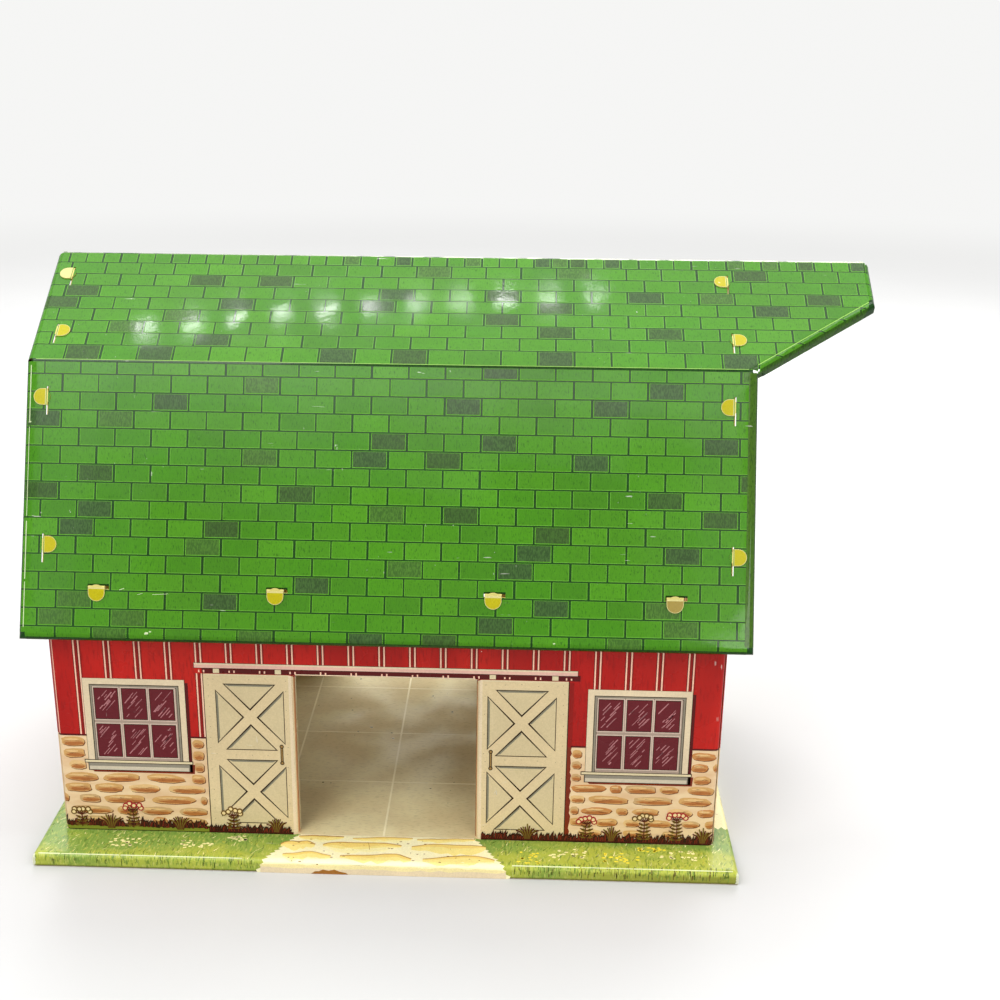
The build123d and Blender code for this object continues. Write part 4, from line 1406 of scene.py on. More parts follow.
def jamb_strip(films, surface):
    """A jamb's print up to its rounded shoulder: cream, with brown painted shade round its bend."""
    for tone, layer, left, right in JAMB_STRIPS:
        tops = []
        for i in range(7):
            u = right + (left - right) * i / 6
            turn = min(u / JAMB_BEND, pi / 2)
            tops.append((u, DOORWAY_TOP - JAMB_BEND * (1 - cos(turn)) - 0.12))
        films.add(tone, layer, [[(left, DOOR_FOOT), (right, DOOR_FOOT)] + tops], surface)


HANGER = (83.9, 85.9)     # foot and top of a door's hanger
HANGER_HALF = 1.3
TICK = (84.1, 84.9)       # foot and top of the boards' lines seen under the rail


def rail(films, half, hangers, opening, rng):
    """Door rail, the shade under it, the doors' hangers and the lintel's pale edge."""
    lintel = opening - 0.6
    rects(
        films,
        ("cream_pink", 6, -lintel, DOORWAY_TOP + 0.1, lintel, DOORWAY_TOP + 0.5),
        ("maroon_deep", 1, -half + 3.2, DOORWAY_TOP + 0.1, half + 1.2, RAIL_LOW + 0.2),
        ("outline", 4, -half - 0.2, RAIL_LOW - 0.2, half + 0.2, RAIL_HIGH + 0.15),
        ("rail", 5, -half, RAIL_LOW, half, RAIL_HIGH),
        ("cream_pink", 6, -half, RAIL_HIGH - 0.7, half, RAIL_HIGH),
    )
    for side in (-1, 1):
        for u in hangers:
            at = side * u
            rect(films, "cream_light", 4, at - HANGER_HALF, HANGER[0], at + HANGER_HALF, HANGER[1])
    u = 2 - half
    while u < half - 2:
        if all(abs(abs(u) - at) > 2.4 for at in hangers):
            for left, right in ((u - 0.3, u + 0.3), (u + 1.8, u + 2.4)):
                rect(films, "line_pink", 3, left, TICK[0], right, TICK[1] + rng.uniform(0, 0.4))
        u += BOARD_PITCH


def fringe(films, left, right, seed, olive):
    """Ragged dry grass printed densely along the foot of a wall."""
    rng = random.Random(seed)
    rise = 2.0 if olive else 0.2
    if olive:
        rect(films, "olive", 11, left, WALL_FOOT, right, WALL_FOOT + 3.2)
    rect(films, "fringe_line", 12, left, WALL_FOOT, right, WALL_FOOT + 0.3)
    rect(films, "fringe", 12, left, WALL_FOOT + rise, right, WALL_FOOT + rise + 0.9)
    for passing in range(2):
        u = left
        while u < right - 1.6:
            clump = 0.5 + 0.5 * sin(u * 0.9) * sin(u * 0.37 + seed)
            tall = rng.uniform(1.5, 3.2) + 2.6 * clump * rng.random()
            width = rng.uniform(0.6, 1.15)
            lean = rng.uniform(-0.8, 1.5)
            base = WALL_FOOT + rise + 0.7 - (rng.uniform(0.2, 1.1) if olive else 0)
            tone = rng.choice(("fringe", "fringe_red", "fringe_red"))
            layer = 13 + passing * 2 + rng.random() * 0.9
            for inset, shade in ((0.0, "fringe_line"), (0.22, tone)):
                blade = [
                    (u + inset, base), (u + width - inset, base),
                    (u + width - inset + lean * 0.5, base + (tall - inset) * 0.6),
                    (u + width * 0.5 + lean, base + tall - inset * 3),
                    (u + inset + lean * 0.4, base + (tall - inset) * 0.6),
                ]
                blade = [(min(max(x, left), right), y) for x, y in blade]
                films.add(shade, layer + inset * 4, [blade])
            u += width * rng.uniform(0.75, 1.25)


def curve(start, bend, end, steps=5):
    """Points of a soft curve through a bend."""
    points = []
    for i in range(steps + 1):
        t = i / steps
        points.append(tuple(
            (1 - t) ** 2 * a + 2 * t * (1 - t) * b + t * t * c
            for a, b, c in zip(start, bend, end)
        ))
    return points


LEAF_STEP = 1.7           # height between two pairs of leaves
BLOOMS = 6
BUSH_BLADES = 11


def leafy_stem(films, u, height, bloom_ink, rng):
    """A stem with paired leaves under a loose head of round flowers."""
    foot = WALL_FOOT + 1.5
    sway = rng.uniform(-1.4, 1.4)
    bend = (u + sway, foot + height / 2)
    films.add("leaf_dark", 17, stroke(curve((u, foot), bend, (u, foot + height)), 0.4))
    for i in range(int(height / LEAF_STEP)):
        v = foot + 0.8 + i * LEAF_STEP
        for side in (-1, 1):
            reach = side * (3.8 * (1 - i * LEAF_STEP / height * 0.6))
            tip = (u + reach, v + 1.1)
            leaf = [(u, v), (u + reach * 0.5, v - 0.2), tip, (u + reach * 0.4, v + 1.0)]
            films.add("leaf", 18 + i * 0.1 + side * 0.04, [leaf])
            films.add("leaf_dark", 19.5 + i * 0.1 + side * 0.04, stroke([(u, v + 0.2), tip], 0.3))
    for i in range(BLOOMS):
        angle = pi * (i + 0.5) / BLOOMS
        out = rng.uniform(0.75, 1.15)
        centre = (u + 3.9 * out * cos(angle), foot + height + 0.2 + 2.6 * out * sin(angle))
        films.add("leaf_dark", 17.1 + i * 0.1, stroke([(u, foot + height - 0.6), centre], 0.3))
        films.add("bloom_heart", 21 + i * 0.4, [oval(*centre, 1.0, 1.0, 9)])
        films.add(bloom_ink, 21.2 + i * 0.4, ring(*centre, 1.05, 0.5, 9))


def low_bush(films, u, width, rng):
    """A low clump of arched blades."""
    foot = WALL_FOOT + 1.0
    for i in range(BUSH_BLADES):
        share = i / (BUSH_BLADES - 1) - 0.5
        tip = (u + share * width, foot + 7.0 - abs(share) * 5.0 + rng.uniform(-0.8, 0.8))
        bend = (u + share * width * 0.35, foot + 3.6)
        tone = "leaf" if i % 2 else "leaf_dark"
        layer = 17 + i * 0.3
        films.add(tone, layer, stroke(curve((u + share * width * 0.24, foot), bend, tip), 0.5))


# Plants along a wall: place, kind and height, or width for a bush
FRONT_PLANTS = (
    (-136, "bloom_cream", 6.5), (-123, "bush", 11), (-113, "bloom_red", 9), (-92, "bush", 10),
    (-68, "bloom_cream", 7.5), (-49, "bush", 9), (62, "bush", 10), (88, "bloom_red", 8),
    (99, "bush", 9), (113, "bloom_cream", 10), (127, "bloom_red", 11), (139, "bush", 9),
)


def planting(films, plants, seed):
    """Plants at chosen places."""
    rng = random.Random(seed)
    for u, kind, size in plants:
        if kind == "bush":
            low_bush(films, u, size, rng)
        else:
            leafy_stem(films, u, size, kind, rng)


PRINT_END = 150.0         # the print of a long wall reaches this far round its corners
FRINGE_END = 148.0
CORNER_HIGHLIGHT = (0.8, 1.15) # a painted highlight on the corner's bend lies between these distances from the left corner
SKIRTING = (-0.1, 0.7)    # dark line between boards and stones, from the stones' top


def long_wall_print(prefix, turns, seed):
    """The print of a long wall: boards, stones, windows, doors under a rail, plants."""
    rng = random.Random(seed)
    surface = long_wall(turns)

    def spans_at(u):
        if abs(u - BESIDE_LEFT_DOOR) < 1:
            return [(STONE_LINE, DOOR_TOP), (RAIL_HIGH, WALL_TOP)]
        over_window = WINDOW_MIDDLE - WINDOW_HALF - 3 < abs(u) < WINDOW_MIDDLE + WINDOW_HALF
        foot = WINDOW_TOP if over_window else STONE_LINE
        return [(RAIL_HIGH if abs(u) < RAIL_HALF else foot, WALL_TOP)]

    boards = Print(f"{prefix}_boards", surface)
    board_lines(boards, LAST_BOARD_LINE, spans_at)
    low, high = (STONE_LINE + edge for edge in SKIRTING)
    for left, right in ((-PRINT_END, -DOOR_OUTER), (DOOR_OUTER + 1.6, PRINT_END)):
        rect(boards, "maroon_deep", 4, left, low, right, high)
    # painted highlight on the left corner's bend
    left, right = (edge - HALF_LENGTH for edge in CORNER_HIGHLIGHT)
    rect(boards, "line_pink", 3, left, STONE_LINE, right, WALL_TOP)
    boards.make()

    stones = Print(f"{prefix}_stones", surface)
    placed_stones(stones, LEFT_STONES, 3.8, 4.4, seed + 1)
    placed_stones(stones, RIGHT_STONES, 3.3, 4.0, seed + 2)
    stones.make()

    windows = Print(f"{prefix}_windows", surface)
    for side in (-1, 1):
        window(windows, side * WINDOW_MIDDLE, SILL_TOP, rng)
    windows.make()

    doors = Print(f"{prefix}_doors", surface)
    for side in (-1, 1):
        door(doors, jamb(turns, DOORWAY_HALF, HALF_SPACING, side), side, rng)
    rail(doors, RAIL_HALF, [RAIL_HALF - inset for inset in HANGER_INSETS], DOORWAY_HALF, rng)
    doors.make()

    plants = Print(f"{prefix}_plants", surface)
    inner = DOORWAY_HALF + JAMB_BEND
    fringe(plants, -FRINGE_END, -DOOR_OUTER - 1, seed + 3, True)
    fringe(plants, -DOOR_OUTER - 1, -inner, seed + 4, False)
    fringe(plants, inner, FRINGE_END, seed + 5, False)
    planting(plants, FRONT_PLANTS, seed + 6)
    plants.make()


END_DOOR_OUTER = 87.5
END_RAIL_HALF = 90.0
SHORT_ROWS = (38.6, 44.2, 49.7)   # heights of the stones beside the left end's windows
BESIDE_WINDOW = 2.5       # they keep this far from a window
LOFT_LEAF = 21.5          # width of a small door beside the loft opening
LOFT_RAIL = (201.0, 202.6)
END_HANGER_INSETS = (9.4, 32)
END_WINDOWS = 48.0        # the left end's windows' middles
END_PLANTS = ((-66, "bloom_cream", 6), (-81, "bush", 7), (70, "bush", 7), (84, "bloom_red", 7))
LEFT_END_PLANTS = (
    (-80, "bloom_red", 8), (-62, "bush", 9), (-20, "bloom_cream", 7), (6, "bush", 8),
    (31, "bloom_red", 7), (75, "bush", 7), (86, "bloom_cream", 6),
)


def gable_top(u):
    """Height of an end wall's upper edge, less a little."""
    out = abs(u)
    if out < CREASE_HALF:
        return RIDGE_HEIGHT - out * tan(UPPER_PITCH) - 1.6
    return CREASE_HEIGHT - (out - CREASE_HALF) * tan(LOWER_PITCH) - 2.6


SMALL_BRACE = 2.4
LEAF_BORDER = (2, 2.2)    # a small leaf's border beside its panel, and over and under it


def small_leaf(films, left, right):
    """A small braced door leaf at the loft's height."""
    low, high = LOFT_SILL, LOFT_TOP
    rect(films, "outline", 1, left - 0.2, low - 0.2, right + 0.2, high + 0.2)
    rect(films, "cream", 2, left, low, right, high)
    half_width = (right - left) / 2 - LEAF_BORDER[0]
    half_height = (high - low) / 2 - LEAF_BORDER[1]
    middle_u, middle_v = (left + right) / 2, (low + high) / 2
    braced_panel(films, middle_u, middle_v, half_width, half_height, SMALL_BRACE)


def right_end_print():
    """The right end wall's print: wide doorway's doors, loft doors folded open, boards."""
    rng = random.Random(51)
    surface = end_wall(1)
    loft_outer = LOFT_HALF + LOFT_LEAF

    def spans_at(u):
        top = min(gable_top(u - 1), gable_top(u + PAIR_GAP + 1))
        foot = RAIL_HIGH if abs(u) < END_RAIL_HALF else STONE_LINE
        if abs(u + PAIR_GAP / 2) < loft_outer + 2:
            return [(foot, LOFT_SILL - 1.2), (LOFT_RAIL[1], top)]
        return [(foot, top)]

    boards = Print("right_end_boards", surface)
    board_lines(boards, END_HALF_WIDTH, spans_at)
    boards.make()

    stones = Print("right_end_stones", surface)
    for i, side in enumerate((-1, 1)):
        left, right = sorted((side * (END_DOOR_OUTER + 1.5), side * (END_HALF_WIDTH - 0.3)))
        random_stones(stones, left, right, STONE_LINE, 61 + i)
    stones.make()

    doors = Print("right_end_doors", surface)
    for side in (-1, 1):
        surface_jamb = jamb(1, END_DOORWAY_HALF, END_FACE, side)
        door(doors, surface_jamb, side, rng, END_DOORWAY_HALF, END_DOOR_OUTER)
        left, right = sorted((side * (LOFT_HALF + 0.6), side * loft_outer))
        small_leaf(doors, left, right)
    hangers = [END_RAIL_HALF - inset for inset in END_HANGER_INSETS]
    rail(doors, END_RAIL_HALF, hangers, END_DOORWAY_HALF, rng)
    low, high = LOFT_RAIL
    rects(
        doors,
        ("outline", 2, -loft_outer - 1.2, low - 0.2, loft_outer + 1.2, high + 0.2),
        ("rail", 3, -loft_outer - 1, low, loft_outer + 1, high),
        ("cream_light", 3, -LOFT_HALF - 0.4, LOFT_SILL - 2.2, LOFT_HALF + 0.4, LOFT_SILL - 0.1),
    )
    doors.make()

    plants = Print("right_end_plants", surface)
    inner = END_DOORWAY_HALF + JAMB_BEND
    fringe(plants, -END_HALF_WIDTH + 0.5, -inner, 71, False)
    fringe(plants, inner, END_HALF_WIDTH - 0.5, 72, False)
    planting(plants, END_PLANTS, 73)
    plants.make()


def left_end_print():
    """The closed left end wall's print: two windows, a closed loft door, boards, stones."""
    rng = random.Random(81)
    surface = end_wall(3)

    def spans_at(u):
        centre = u + PAIR_GAP / 2
        top = min(gable_top(u - 1), gable_top(u + PAIR_GAP + 1))
        over_window = abs(abs(centre) - END_WINDOWS) < WINDOW_HALF + 2
        foot = WINDOW_TOP if over_window else STONE_LINE
        if abs(centre) < LOFT_HALF + 3:
            return [(foot, LOFT_SILL - 1.5), (LOFT_TOP + 2.4, top)]
        return [(foot, top)]

    boards = Print("left_end_boards", surface)
    board_lines(boards, END_HALF_WIDTH, spans_at)
    low, high = (STONE_LINE + edge for edge in SKIRTING)
    rect(boards, "maroon_deep", 4, 0.5 - END_HALF_WIDTH, low, END_HALF_WIDTH - 0.5, high)
    boards.make()

    stones = Print("left_end_stones", surface)
    middle_edge = END_WINDOWS - WINDOW_HALF - BESIDE_WINDOW
    outer_edge = END_WINDOWS + WINDOW_HALF + BESIDE_WINDOW
    wall_edge = END_HALF_WIDTH - 0.6
    random_stones(stones, -wall_edge, wall_edge, SILL_TOP - 5.5, 91)
    spans = ((-wall_edge, -outer_edge), (-middle_edge, middle_edge), (outer_edge, wall_edge))
    for i, (left, right) in enumerate(spans):
        rng_row = random.Random(95 + i)
        for height in SHORT_ROWS:
            u = left
            while u < right - SHORTEST_STONE:
                length = min(rng_row.uniform(7, 14), right - u)
                stone(stones, u, u + length, height, 3.9, rng_row, rng_row.choice(STONE_TONES))
                u += length + rng_row.uniform(1.6, 2.6)
    stones.make()

    windows = Print("left_end_windows", surface)
    for side in (-1, 1):
        window(windows, side * END_WINDOWS, SILL_TOP, rng)
    windows.make()

    doors = Print("left_end_loft_door", surface)
    for left, right in ((-LOFT_HALF, -0.3), (0.3, LOFT_HALF)):
        small_leaf(doors, left, right)
    rect(doors, "rail", 3, -LOFT_HALF - 2, LOFT_TOP + 0.6, LOFT_HALF + 2, LOFT_TOP + 2.2)
    doors.make()

    plants = Print("left_end_plants", surface)
    fringe(plants, 0.5 - END_HALF_WIDTH, END_HALF_WIDTH - 0.5, 101, True)
    planting(plants, LEFT_END_PLANTS, 103)
    plants.make()


# Base's print
PATH_HALF_WALL = 39.3
PATH_HALF_RIM = 54.6
PAST_RIM = 5.2            # how far print reaches, measured over the rim's bend
RIM_RUN = BASE_HALF_DEPTH + PAST_RIM
# Rows of the path's flat stones: distance from the middle, bulge, depth, the spans' ends
PATH_STONES = (
    (98.9, 0.5, 4.6, ((-39, -19), (-15, 11.5), (13.5, 39))),
    (105.0, 1.9, 9.0, ((-46, -31), (-27.5, 7), (11.5, 44))),
    (115.0, 2.2, 6.6, ((-44, -23), (-19, 12), (17, 48))),
)
# A patch of rust on the rim before the path: place along and distance past the rim's edge
RUST_PATCH = (
    (-31, 5.2), (-29.4, 4.0), (-27.6, 3.9), (-26, 3.0), (-23.4, 3.5), (-21, 2.9), (-18.8, 3.8),
    (-16, 4.4), (-15, 5.2),
)
PATH_SPECKS = 34
PATH_CRACK = ((-8, 103.2), (-7.2, 106), (-6.6, 109.6))
PATH_TEETH = 23           # teeth along each edge of the path
TOOTH_REACH = 1.2
PATH_DEPTHS = ((0.92, "path_pale"), (0.84, "path_yellow"), (0.34, "path_gold"))
END_PATH_HALF = 83.0
END_PATH_CRACKS = 24


def saw_edge(start, end, rng):
    """Points from one place to another along ragged, tooth-like strokes."""
    points = [start]
    for i in range(1, PATH_TEETH):
        t = i / PATH_TEETH
        out = rng.uniform(0.3, TOOTH_REACH) * (1 if i % 2 else -1)
        u = start[0] + (end[0] - start[0]) * t + out
        points.append((u, start[1] + (end[1] - start[1]) * t))
    return points + [end]


def path_stone(films, left, right, v, bulge, height, side, rng):
    """One flat stone of the path: golden under an arched line, paler further out."""
    lean = rng.uniform(-0.25, 0.25) * (right - left)
    bend = ((left + right) / 2 + lean, v - 2 * bulge)
    arch = curve((left, v + rng.uniform(0.3, 1.2)), bend, (right, v + rng.uniform(-0.6, 0.8)), 12)
    waves, start = rng.uniform(1.5, 3.5), rng.uniform(0, 6)

    def wavy(i, w):
        wave = bulge * 0.28 * sin(start + waves * i / 3)
        return (min(w, RIM_RUN) + wave + rng.uniform(-0.15, 0.15)) * side

    arch = [(u, wavy(i, w)) for i, (u, w) in enumerate(arch)]
    for layer, (depth, tone) in enumerate(PATH_DEPTHS, 2):
        deep = depth * height * rng.uniform(0.75, 1.2)
        foot = [
            (u, w + side * deep * sin(pi * (i + 0.5) / 13) ** 0.6 * rng.uniform(0.75, 1.15))
            for i, (u, w) in enumerate(arch)
        ]
        films.add(tone, layer, [arch + foot[::-1]])
    films.add("crack", 5, stroke(arch, rng.uniform(0.36, 0.66)))
    if rng.random() < 0.5:
        films.add("crack_dark", 6, stroke(arch[3:8], 0.36))


def front_path(films, side, rng):
    """The path from a long wall's doorway over the rim, with its flat stones."""
    wall, rim = HALF_SPACING + 0.1, BASE_HALF_DEPTH
    outline = saw_edge((-PATH_HALF_WALL, wall), (-PATH_HALF_RIM, RIM_RUN), rng)
    outline += saw_edge((PATH_HALF_RIM, RIM_RUN), (PATH_HALF_WALL, wall), rng)
    films.add("path", 1, [[(u, side * v) for u, v in outline]])
    for v, bulge, height, spans in PATH_STONES:
        for a, b in spans:
            path_stone(films, a, b, v, bulge, height, side, rng)
    reach = PATH_HALF_RIM - 1.6
    for start, tone, layer in ((0.8, "path_shade", 6), (2.6, "path_rim", 7)):
        lower = [
            (-reach + 2 * reach * i / 26, rim + start + rng.uniform(-0.5, 0.5)) for i in range(27)
        ]
        lower += [(reach, RIM_RUN), (-reach, RIM_RUN)]
        films.add(tone, layer, [[(u, side * v) for u, v in lower]])
    films.add("path_rust", 8, [[(u, side * (rim + v)) for u, v in RUST_PATCH]])
    films.add("crack", 5, stroke([(u, side * v) for u, v in PATH_CRACK], 0.22))
    for _ in range(PATH_SPECKS):
        u, v = rng.uniform(-44, 44), rng.uniform(101, 121.5)
        films.add("crack_dark", 7, [oval(u, side * v, rng.uniform(0.15, 0.7), 0.2, 6)])


def end_path(films, rng):
    """The wide path outside the right end wall's doorway."""
    wall, rim, half = END_FACE + 0.3, BASE_HALF_LENGTH + PAST_RIM, END_PATH_HALF
    near = [(wall + i * 1.6, -half + (1.6 if i % 2 else -0.6)) for i in range(1, 9)]
    near = [(wall, -half)] + near + [(rim, -half)]
    outline = near + [(u, -v) for u, v in reversed(near)]
    films.add("path_pale", 1, [outline])
    for _ in range(END_PATH_CRACKS):
        u, v = rng.uniform(wall + 1, BASE_HALF_LENGTH - 1), rng.uniform(-half + 4, half - 4)
        films.add("crack", 2, stroke([(u - 1.2, v), (u, v + 1.2), (u + 1.6, v + 0.6)], 0.3))


def off_paths(u, v):
    """Whether a place on the base lies clear of its paths."""
    if abs(v) > HALF_SPACING:
        return abs(u) > PATH_HALF_WALL + (abs(v) - HALF_SPACING) * 0.62 + 2
    return u < 0 or abs(v) > END_PATH_HALF + 3


GRASS_STROKES = 1900      # tried on the apron, and as many on the rims
STROKE_TONES = ("blade_dark", "blade_mid", "blade_mid", "blade_light", "blade_yellow", "flower_pale")


def grass_strokes(films, rng):
    """Brush strokes in the grass, on the apron and over the rim."""
    for _ in range(GRASS_STROKES):
        side = rng.choice((-1, 1))
        if rng.random() < 0.8:
            u = rng.uniform(-150, 150)
            v = side * rng.uniform(HALF_SPACING + 1.2, BASE_HALF_DEPTH - 0.8)
        else:
            u, v = side * rng.uniform(END_FACE + 1, BASE_HALF_LENGTH - 0.8), rng.uniform(-97, 97)
        if not off_paths(u, v):
            continue
        tall, lean = rng.uniform(1.2, 4.2), rng.uniform(-0.6, 2.6)
        width = rng.uniform(0.12, 0.28)
        blade = [(u - width, v), (u + width, v), (u + lean, v + tall)]
        films.add(rng.choice(STROKE_TONES), 1, [blade])
    for _ in range(GRASS_STROKES):
        side, u = rng.choice((-1, 1)), rng.uniform(-150, 150)
        if abs(u) < PATH_HALF_RIM + 1:
            continue
        v, tall = BASE_HALF_DEPTH + rng.uniform(-1, 4), rng.uniform(0.8, 3.2)
        tone = "blade_brown" if rng.random() < 0.12 + u / 700 else rng.choice(STROKE_TONES[:4])
        width = rng.uniform(0.15, 0.4)
        rect(films, tone, 1, u, side * v, u + width, side * (v - tall))


def rim_highlight(films, rng):
    """The painted highlight along the rims' upper bend."""
    for side in (-1, 1):
        v = side * (BASE_HALF_DEPTH - 1.1)
        u = -BASE_HALF_LENGTH + 2.5
        while u < BASE_HALF_LENGTH - 8:
            length = rng.uniform(9, 30)
            end = min(u + length, BASE_HALF_LENGTH - 2.5)
            half = rng.uniform(0.18, 0.3)
            if end < -PATH_HALF_RIM or u > PATH_HALF_RIM:
                rect(films, "rim_highlight", 2, u, v - half, end, v + half)
            u = end + rng.uniform(-0.2, 0.7)
            if -PATH_HALF_RIM - 10 < u < PATH_HALF_RIM:
                u = PATH_HALF_RIM + 1


PATCH_FLOWERS = 18
# Patches of flowers: place, ink and half sizes
FLOWERS = (
    (-116, -108.6, "flower_pale", (7.5, 3.4)), (-82.5, -108.8, "flower_pale", (7.0, 3.0)),
    (-66, -103, "flower_pale", (4, 2.5)), (116, -103, "flower_yellow", (6, 2)),
    (64, -113, "flower_yellow", (6, 5)), (80, -108.4, "flower_pale", (8, 4)),
    (103, -111, "flower_yellow", (8, 4)), (128, -107, "flower_pale", (8, 4)),
    (-100, 108, "flower_pale", (8, 3)), (90, 109, "flower_yellow", (8, 4)),
    (-60, 112, "flower_yellow", (6, 3)),
)


def flower_patches(films, rng):
    """Small patches of flowers in the grass."""
    for u, v, tone, (wide, deep) in FLOWERS:
        for _ in range(PATCH_FLOWERS):
            x, y = u + rng.uniform(-wide, wide), v + rng.uniform(-deep, deep)
            half_width, half_height = rng.uniform(0.6, 1.0), rng.uniform(0.45, 0.75)
            films.add(tone, 2, [oval(x, y, half_width, half_height, 8)])


FLOOR_LINES_ACROSS = (60.5, 5.9, -46.5)
FLOOR_LINES_ALONG = (-97.5, -49.5, -1.6, 46.4, 94.4)
LINE_HALF_ACROSS, LINE_HALF_ALONG = 0.32, 0.42
SILL_HALF = 38.6          # the floor's pale edge in a doorway
FLOOR_SPECKS = 70
CONCRETE = screen(236, 222, 172)
CONCRETE_SHADE = screen(224, 204, 154)
CONCRETE_DARK = screen(180, 164, 118)
CONCRETE_CLOUDS = (24, 4.0, 0.35, 0.65)
CONCRETE_GRAIN = (0.8, 3.0, 0.5, 0.72, 0.0, 0.35, (3, 1, 1))
CONCRETE_GLOSS = 0.62


def concrete():
    """Printed concrete: warm grey with a fine grain and dark specks."""
    tree = Finish("concrete")
    colour = tree.mixed(tree.patches(*CONCRETE_CLOUDS), CONCRETE, CONCRETE_SHADE)
    colour = tree.mixed(tree.patches(*CONCRETE_GRAIN), colour, CONCRETE_DARK)
    return varnished(tree, colour, CONCRETE_GLOSS)


def base_print():
    """The base's print: paths, grass, flowers and the floor inside."""
    rng = random.Random(31)
    surface = base_top()
    floor = Print("base_floor", surface, "base_print")
    half_x, half_y = END_FACE - TIN - 0.1, HALF_SPACING - TIN - 0.1
    rect(floor, "concrete", 1, -half_x, -half_y, half_x, half_y)
    sill = HALF_SPACING + 0.2
    for side in (-1, 1):
        rect(floor, "floor_line", 1, -SILL_HALF, side * half_y, SILL_HALF, side * sill)
    for v in FLOOR_LINES_ACROSS:
        rect(floor, "floor_line", 2, -half_x, v - LINE_HALF_ACROSS, half_x, v + LINE_HALF_ACROSS)
    for u in FLOOR_LINES_ALONG:
        rect(floor, "floor_line", 3, u - LINE_HALF_ALONG, -half_y, u + LINE_HALF_ALONG, half_y)
    for _ in range(FLOOR_SPECKS):
        u, v, size = rng.uniform(-130, 130), rng.uniform(-90, 90), rng.uniform(0.2, 0.75)
        floor.add("speck", 2, [oval(u, v, size, size * 0.7, 8, 0.3, rng)])
    floor.make()

    paths = Print("base_paths", surface, "base_print")
    for side in (-1, 1):
        front_path(paths, side, rng)
    end_path(paths, rng)
    paths.make()

    grass = Print("base_grass", surface, "base_print")
    grass_strokes(grass, rng)
    rim_highlight(grass, rng)
    flower_patches(grass, rng)
    grass.make()


# Stage
CAMERA_PLACE = Vector((55.6, -699.9, 353.8))
CAMERA_YAW, CAMERA_PITCH, CAMERA_ROLL = -0.0397, 0.3795, 0.0066
FRAME_SIZE = 1000         # pixels each way
FOCAL_PIXELS = 1555.4
LENS_AXIS = (460.0, 613.5)  # where the lens looks, in the frame
SENSOR = 36.0


def camera():
    """The camera at the photograph's place and angle."""
    forward = Vector((
        sin(CAMERA_YAW) * cos(CAMERA_PITCH), cos(CAMERA_YAW) * cos(CAMERA_PITCH),
        -sin(CAMERA_PITCH),
    ))
    level = Vector((cos(CAMERA_YAW), -sin(CAMERA_YAW), 0))
    upward = level.cross(forward)
    right = level * cos(CAMERA_ROLL) + upward * sin(CAMERA_ROLL)
    up = upward * cos(CAMERA_ROLL) - level * sin(CAMERA_ROLL)
    data = bpy.data.cameras.new("camera")
    data.sensor_width = SENSOR
    data.lens = SENSOR * FOCAL_PIXELS / FRAME_SIZE
    data.shift_x = 0.5 - LENS_AXIS[0] / FRAME_SIZE
    data.shift_y = LENS_AXIS[1] / FRAME_SIZE - 0.5
    data.clip_start, data.clip_end = 0.01, 200
    eye = bpy.data.objects.new("camera", data)
    axes = Matrix((right, up, -forward)).transposed().to_4x4()
    eye.matrix_world = Matrix.Translation(to_frame(CAMERA_PLACE)) @ axes
    bpy.context.scene.collection.objects.link(eye)
    bpy.context.scene.camera = eye


def area_light(name, place, target, width, height, power):
    """A soft rectangular lamp; places in millimetres."""
    data = bpy.data.lights.new(name, "AREA")
    data.shape, data.size, data.size_y = "RECTANGLE", width * MM, height * MM
    data.energy = power
    lamp = bpy.data.objects.new(name, data)
    start, end = to_frame(Vector(place)), to_frame(Vector(target))
    turned = (end - start).to_track_quat("-Z", "Y").to_matrix().to_4x4()
    lamp.matrix_world = Matrix.Translation(start) @ turned
    bpy.context.scene.collection.objects.link(lamp)


GLARE_START = (-106.0, 50.0)   # where the row of ceiling lamps begins on the upper slope
GLARE_END = (86.0, 25.0)
GLARE_BOW = 4.0
GLARE_LAMPS = 11
GLARE_DISTANCE = 1500.0
GLARE_WIDTH, GLARE_DEPTH = 26.0, 10.0
GLARE_POWER = 0.036


def mirrored(u, v, distance, on):
    """Where the front slope around v = on mirrors the camera's line of sight to one of its
    points to, and that point."""
    point, pitch = roof_profile(-1, on)
    point = point + Vector((u, 0, 0)) + down_slope(-1, pitch) * (v - on)
    normal = up_slope(-1, pitch)
    seen = (point - CAMERA_PLACE).normalized()
    return point + (seen - normal * 2 * seen.dot(normal)) * distance, point


def glare_lamps():
    """A row of small ceiling lamps that the upper slope mirrors to the camera."""
    for i in range(GLARE_LAMPS):
        t = i / (GLARE_LAMPS - 1)
        u = GLARE_START[0] + (GLARE_END[0] - GLARE_START[0]) * t
        v = GLARE_START[1] + (GLARE_END[1] - GLARE_START[1]) * t - GLARE_BOW * sin(pi * t)
        place, point = mirrored(u, v, GLARE_DISTANCE, UPPER_MIDDLE)
        area_light(f"ceiling_lamp_{i}", place, point, GLARE_WIDTH, GLARE_DEPTH, GLARE_POWER)


# Patches of the lower slope with a soft sheen: left, right, top, foot, and light added
SHEENS = (
    (-190, 190, 50, 82, 0.022), (-190, 160, 50, 92, 0.018), (-190, 110, 50, 103, 0.015),
    (-190, 50, 50, 115, 0.012), (-190, -20, 50, 128, 0.008), (-190, -126, 50, 200, 0.01),
    (-190, -100, 50, 180, 0.007), (128, 190, 50, 200, 0.01), (104, 190, 50, 180, 0.006),
)
HEAD_ON_SHINE = 0.08 * VARNISH_SHINE
UPPER_MIDDLE, LOWER_MIDDLE = 38.0, 120.0   # middles of the slopes, from the ridge


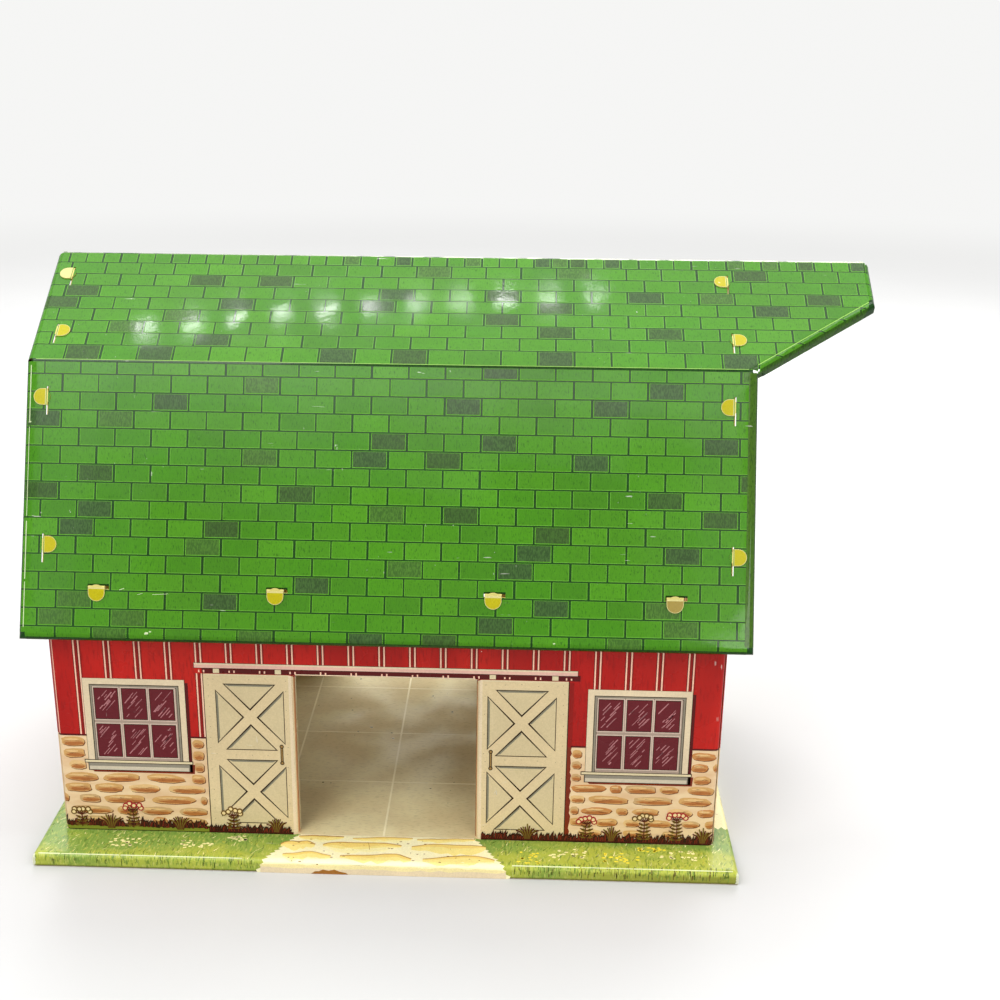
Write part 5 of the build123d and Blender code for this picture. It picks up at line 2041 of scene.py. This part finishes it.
def sheens():
    """Large dim lamps that the lower slope mirrors to the camera as a soft sheen."""
    for i, (left, right, top, foot, level) in enumerate(SHEENS):
        centre = ((left + right) / 2, (top + foot) / 2)
        places = [
            mirrored(u, v, GLARE_DISTANCE, LOWER_MIDDLE)
            for u, v in ((left, foot), (right, foot), (left, top), centre)
        ]
        wide = (places[1][0] - places[0][0]).length
        tall = (places[2][0] - places[0][0]).length
        power = level / HEAD_ON_SHINE * pi * wide * tall * MM * MM
        area_light(f"sheen_{i}", *places[3], wide, tall, power)


WORLD_LEVEL = 0.42
WORLD_SEEN = (0.92, 0.92, 0.91, 1)
FLOOR_REACH = 60.0        # metres
FLOOR_DROP = 0.02         # floor below the rim's underside, mm
FLOOR_NEAR, FLOOR_FAR = 0.7, 2.2   # between these distances the floor turns into plain white
FLOOR_LIT = (0.34, 0.34, 0.33, 1)  # floor's colour for the light it throws back
FLOOR_PALE = (0.60, 0.60, 0.595, 1)
FLOOR_SHADE = (0.58, 0.58, 0.575, 1)
FLOOR_CLOUDS = (180, 3.0, 0.3, 0.7)


def background():
    """Even pale world: white where it is seen, a plain level where it lights."""
    world = bpy.data.worlds.new("studio")
    bpy.context.scene.world = world
    tree = Nodes(world)
    path = tree.node("LightPath")
    seen = tree.larger(path["Is Camera Ray"], path["Is Transmission Ray"])
    seen = tree.larger(seen, path["Is Glossy Ray"])
    lighting = tree.node("Background", Color=(1, 1, 1, 1), Strength=WORLD_LEVEL)[0]
    visible = tree.node("Background", Color=WORLD_SEEN, Strength=1.0)[0]
    tree.node("OutputWorld", Surface=tree.mixed_shader(seen, lighting, visible))


def floor():
    """A plain pale floor that keeps the barn's shadow and is evenly pale further off."""
    mesh = bpy.data.meshes.new("floor")
    square = box(-FLOOR_REACH, -FLOOR_REACH, FLOOR_REACH, FLOOR_REACH)
    corners = [Vector((x, y, -FLOOR_DROP * MM)) for x, y in square]
    mesh.from_pydata(corners, [], [(0, 1, 2, 3)])
    tree = Finish("floor")
    pale = tree.mixed(tree.patches(*FLOOR_CLOUDS), FLOOR_PALE, FLOOR_SHADE)
    path = tree.node("LightPath")
    seen = tree.larger(path["Is Camera Ray"], path["Is Transmission Ray"])
    colour = tree.mixed(seen, FLOOR_LIT, pale)
    shader = tree.node("BsdfPrincipled", Base_Color=colour, Roughness=0.6)[0]
    plain = tree.node("Emission", Color=WORLD_SEEN, Strength=1.0)[0]
    length = tree.node("VectorMath", {"operation": "LENGTH"}, Vector=tree.vector)["Value"]
    far = tree.product(seen, tree.band(length, FLOOR_NEAR, FLOOR_FAR))
    tree.node("OutputMaterial", Surface=tree.mixed_shader(far, shader, plain))
    mesh.materials.append(tree.material)
    piece = bpy.data.objects.new("floor", mesh)
    bpy.context.scene.collection.objects.link(piece)


# Studio lamps: place, target, width, height and power. The slope mirrors the ceiling lamp.
LAMPS = {
    "key": ((-560, -1050, 1560), (0, 0, 90), 800, 800, 13.5),
    "ceiling": (*mirrored(20, UPPER_MIDDLE, GLARE_DISTANCE, UPPER_MIDDLE), 1700, 760, 6),
    "top_back": ((0, 1000, 1700), (0, 0, 150), 900, 600, 12.5),
    "fill": ((760, -1400, 480), (0, 0, 60), 900, 600, 9),
    "left_top": ((-1300, -150, 1300), (0, 0, 100), 700, 900, 10),
    "right_top": ((1300, -150, 1300), (0, 0, 100), 700, 900, 10),
    "back": ((150, 1300, 900), (0, 0, 60), 1600, 700, 15),
}


def lights():
    """Soft studio light from above, in front and from both sides."""
    for name, lamp in LAMPS.items():
        area_light(name, *lamp)
    glare_lamps()
    sheens()


define_inks()
dress_sheets()
shingles("roof_front_shingles", -1, 11)
shingles("roof_back_shingles", 1, 12)
tab_print()
long_wall_print("front_wall", 0, 21)
long_wall_print("back_wall", 2, 41)
right_end_print()
left_end_print()
base_print()
camera()
background()
floor()
lights()
bpy.context.scene.view_settings.view_transform = "Standard"
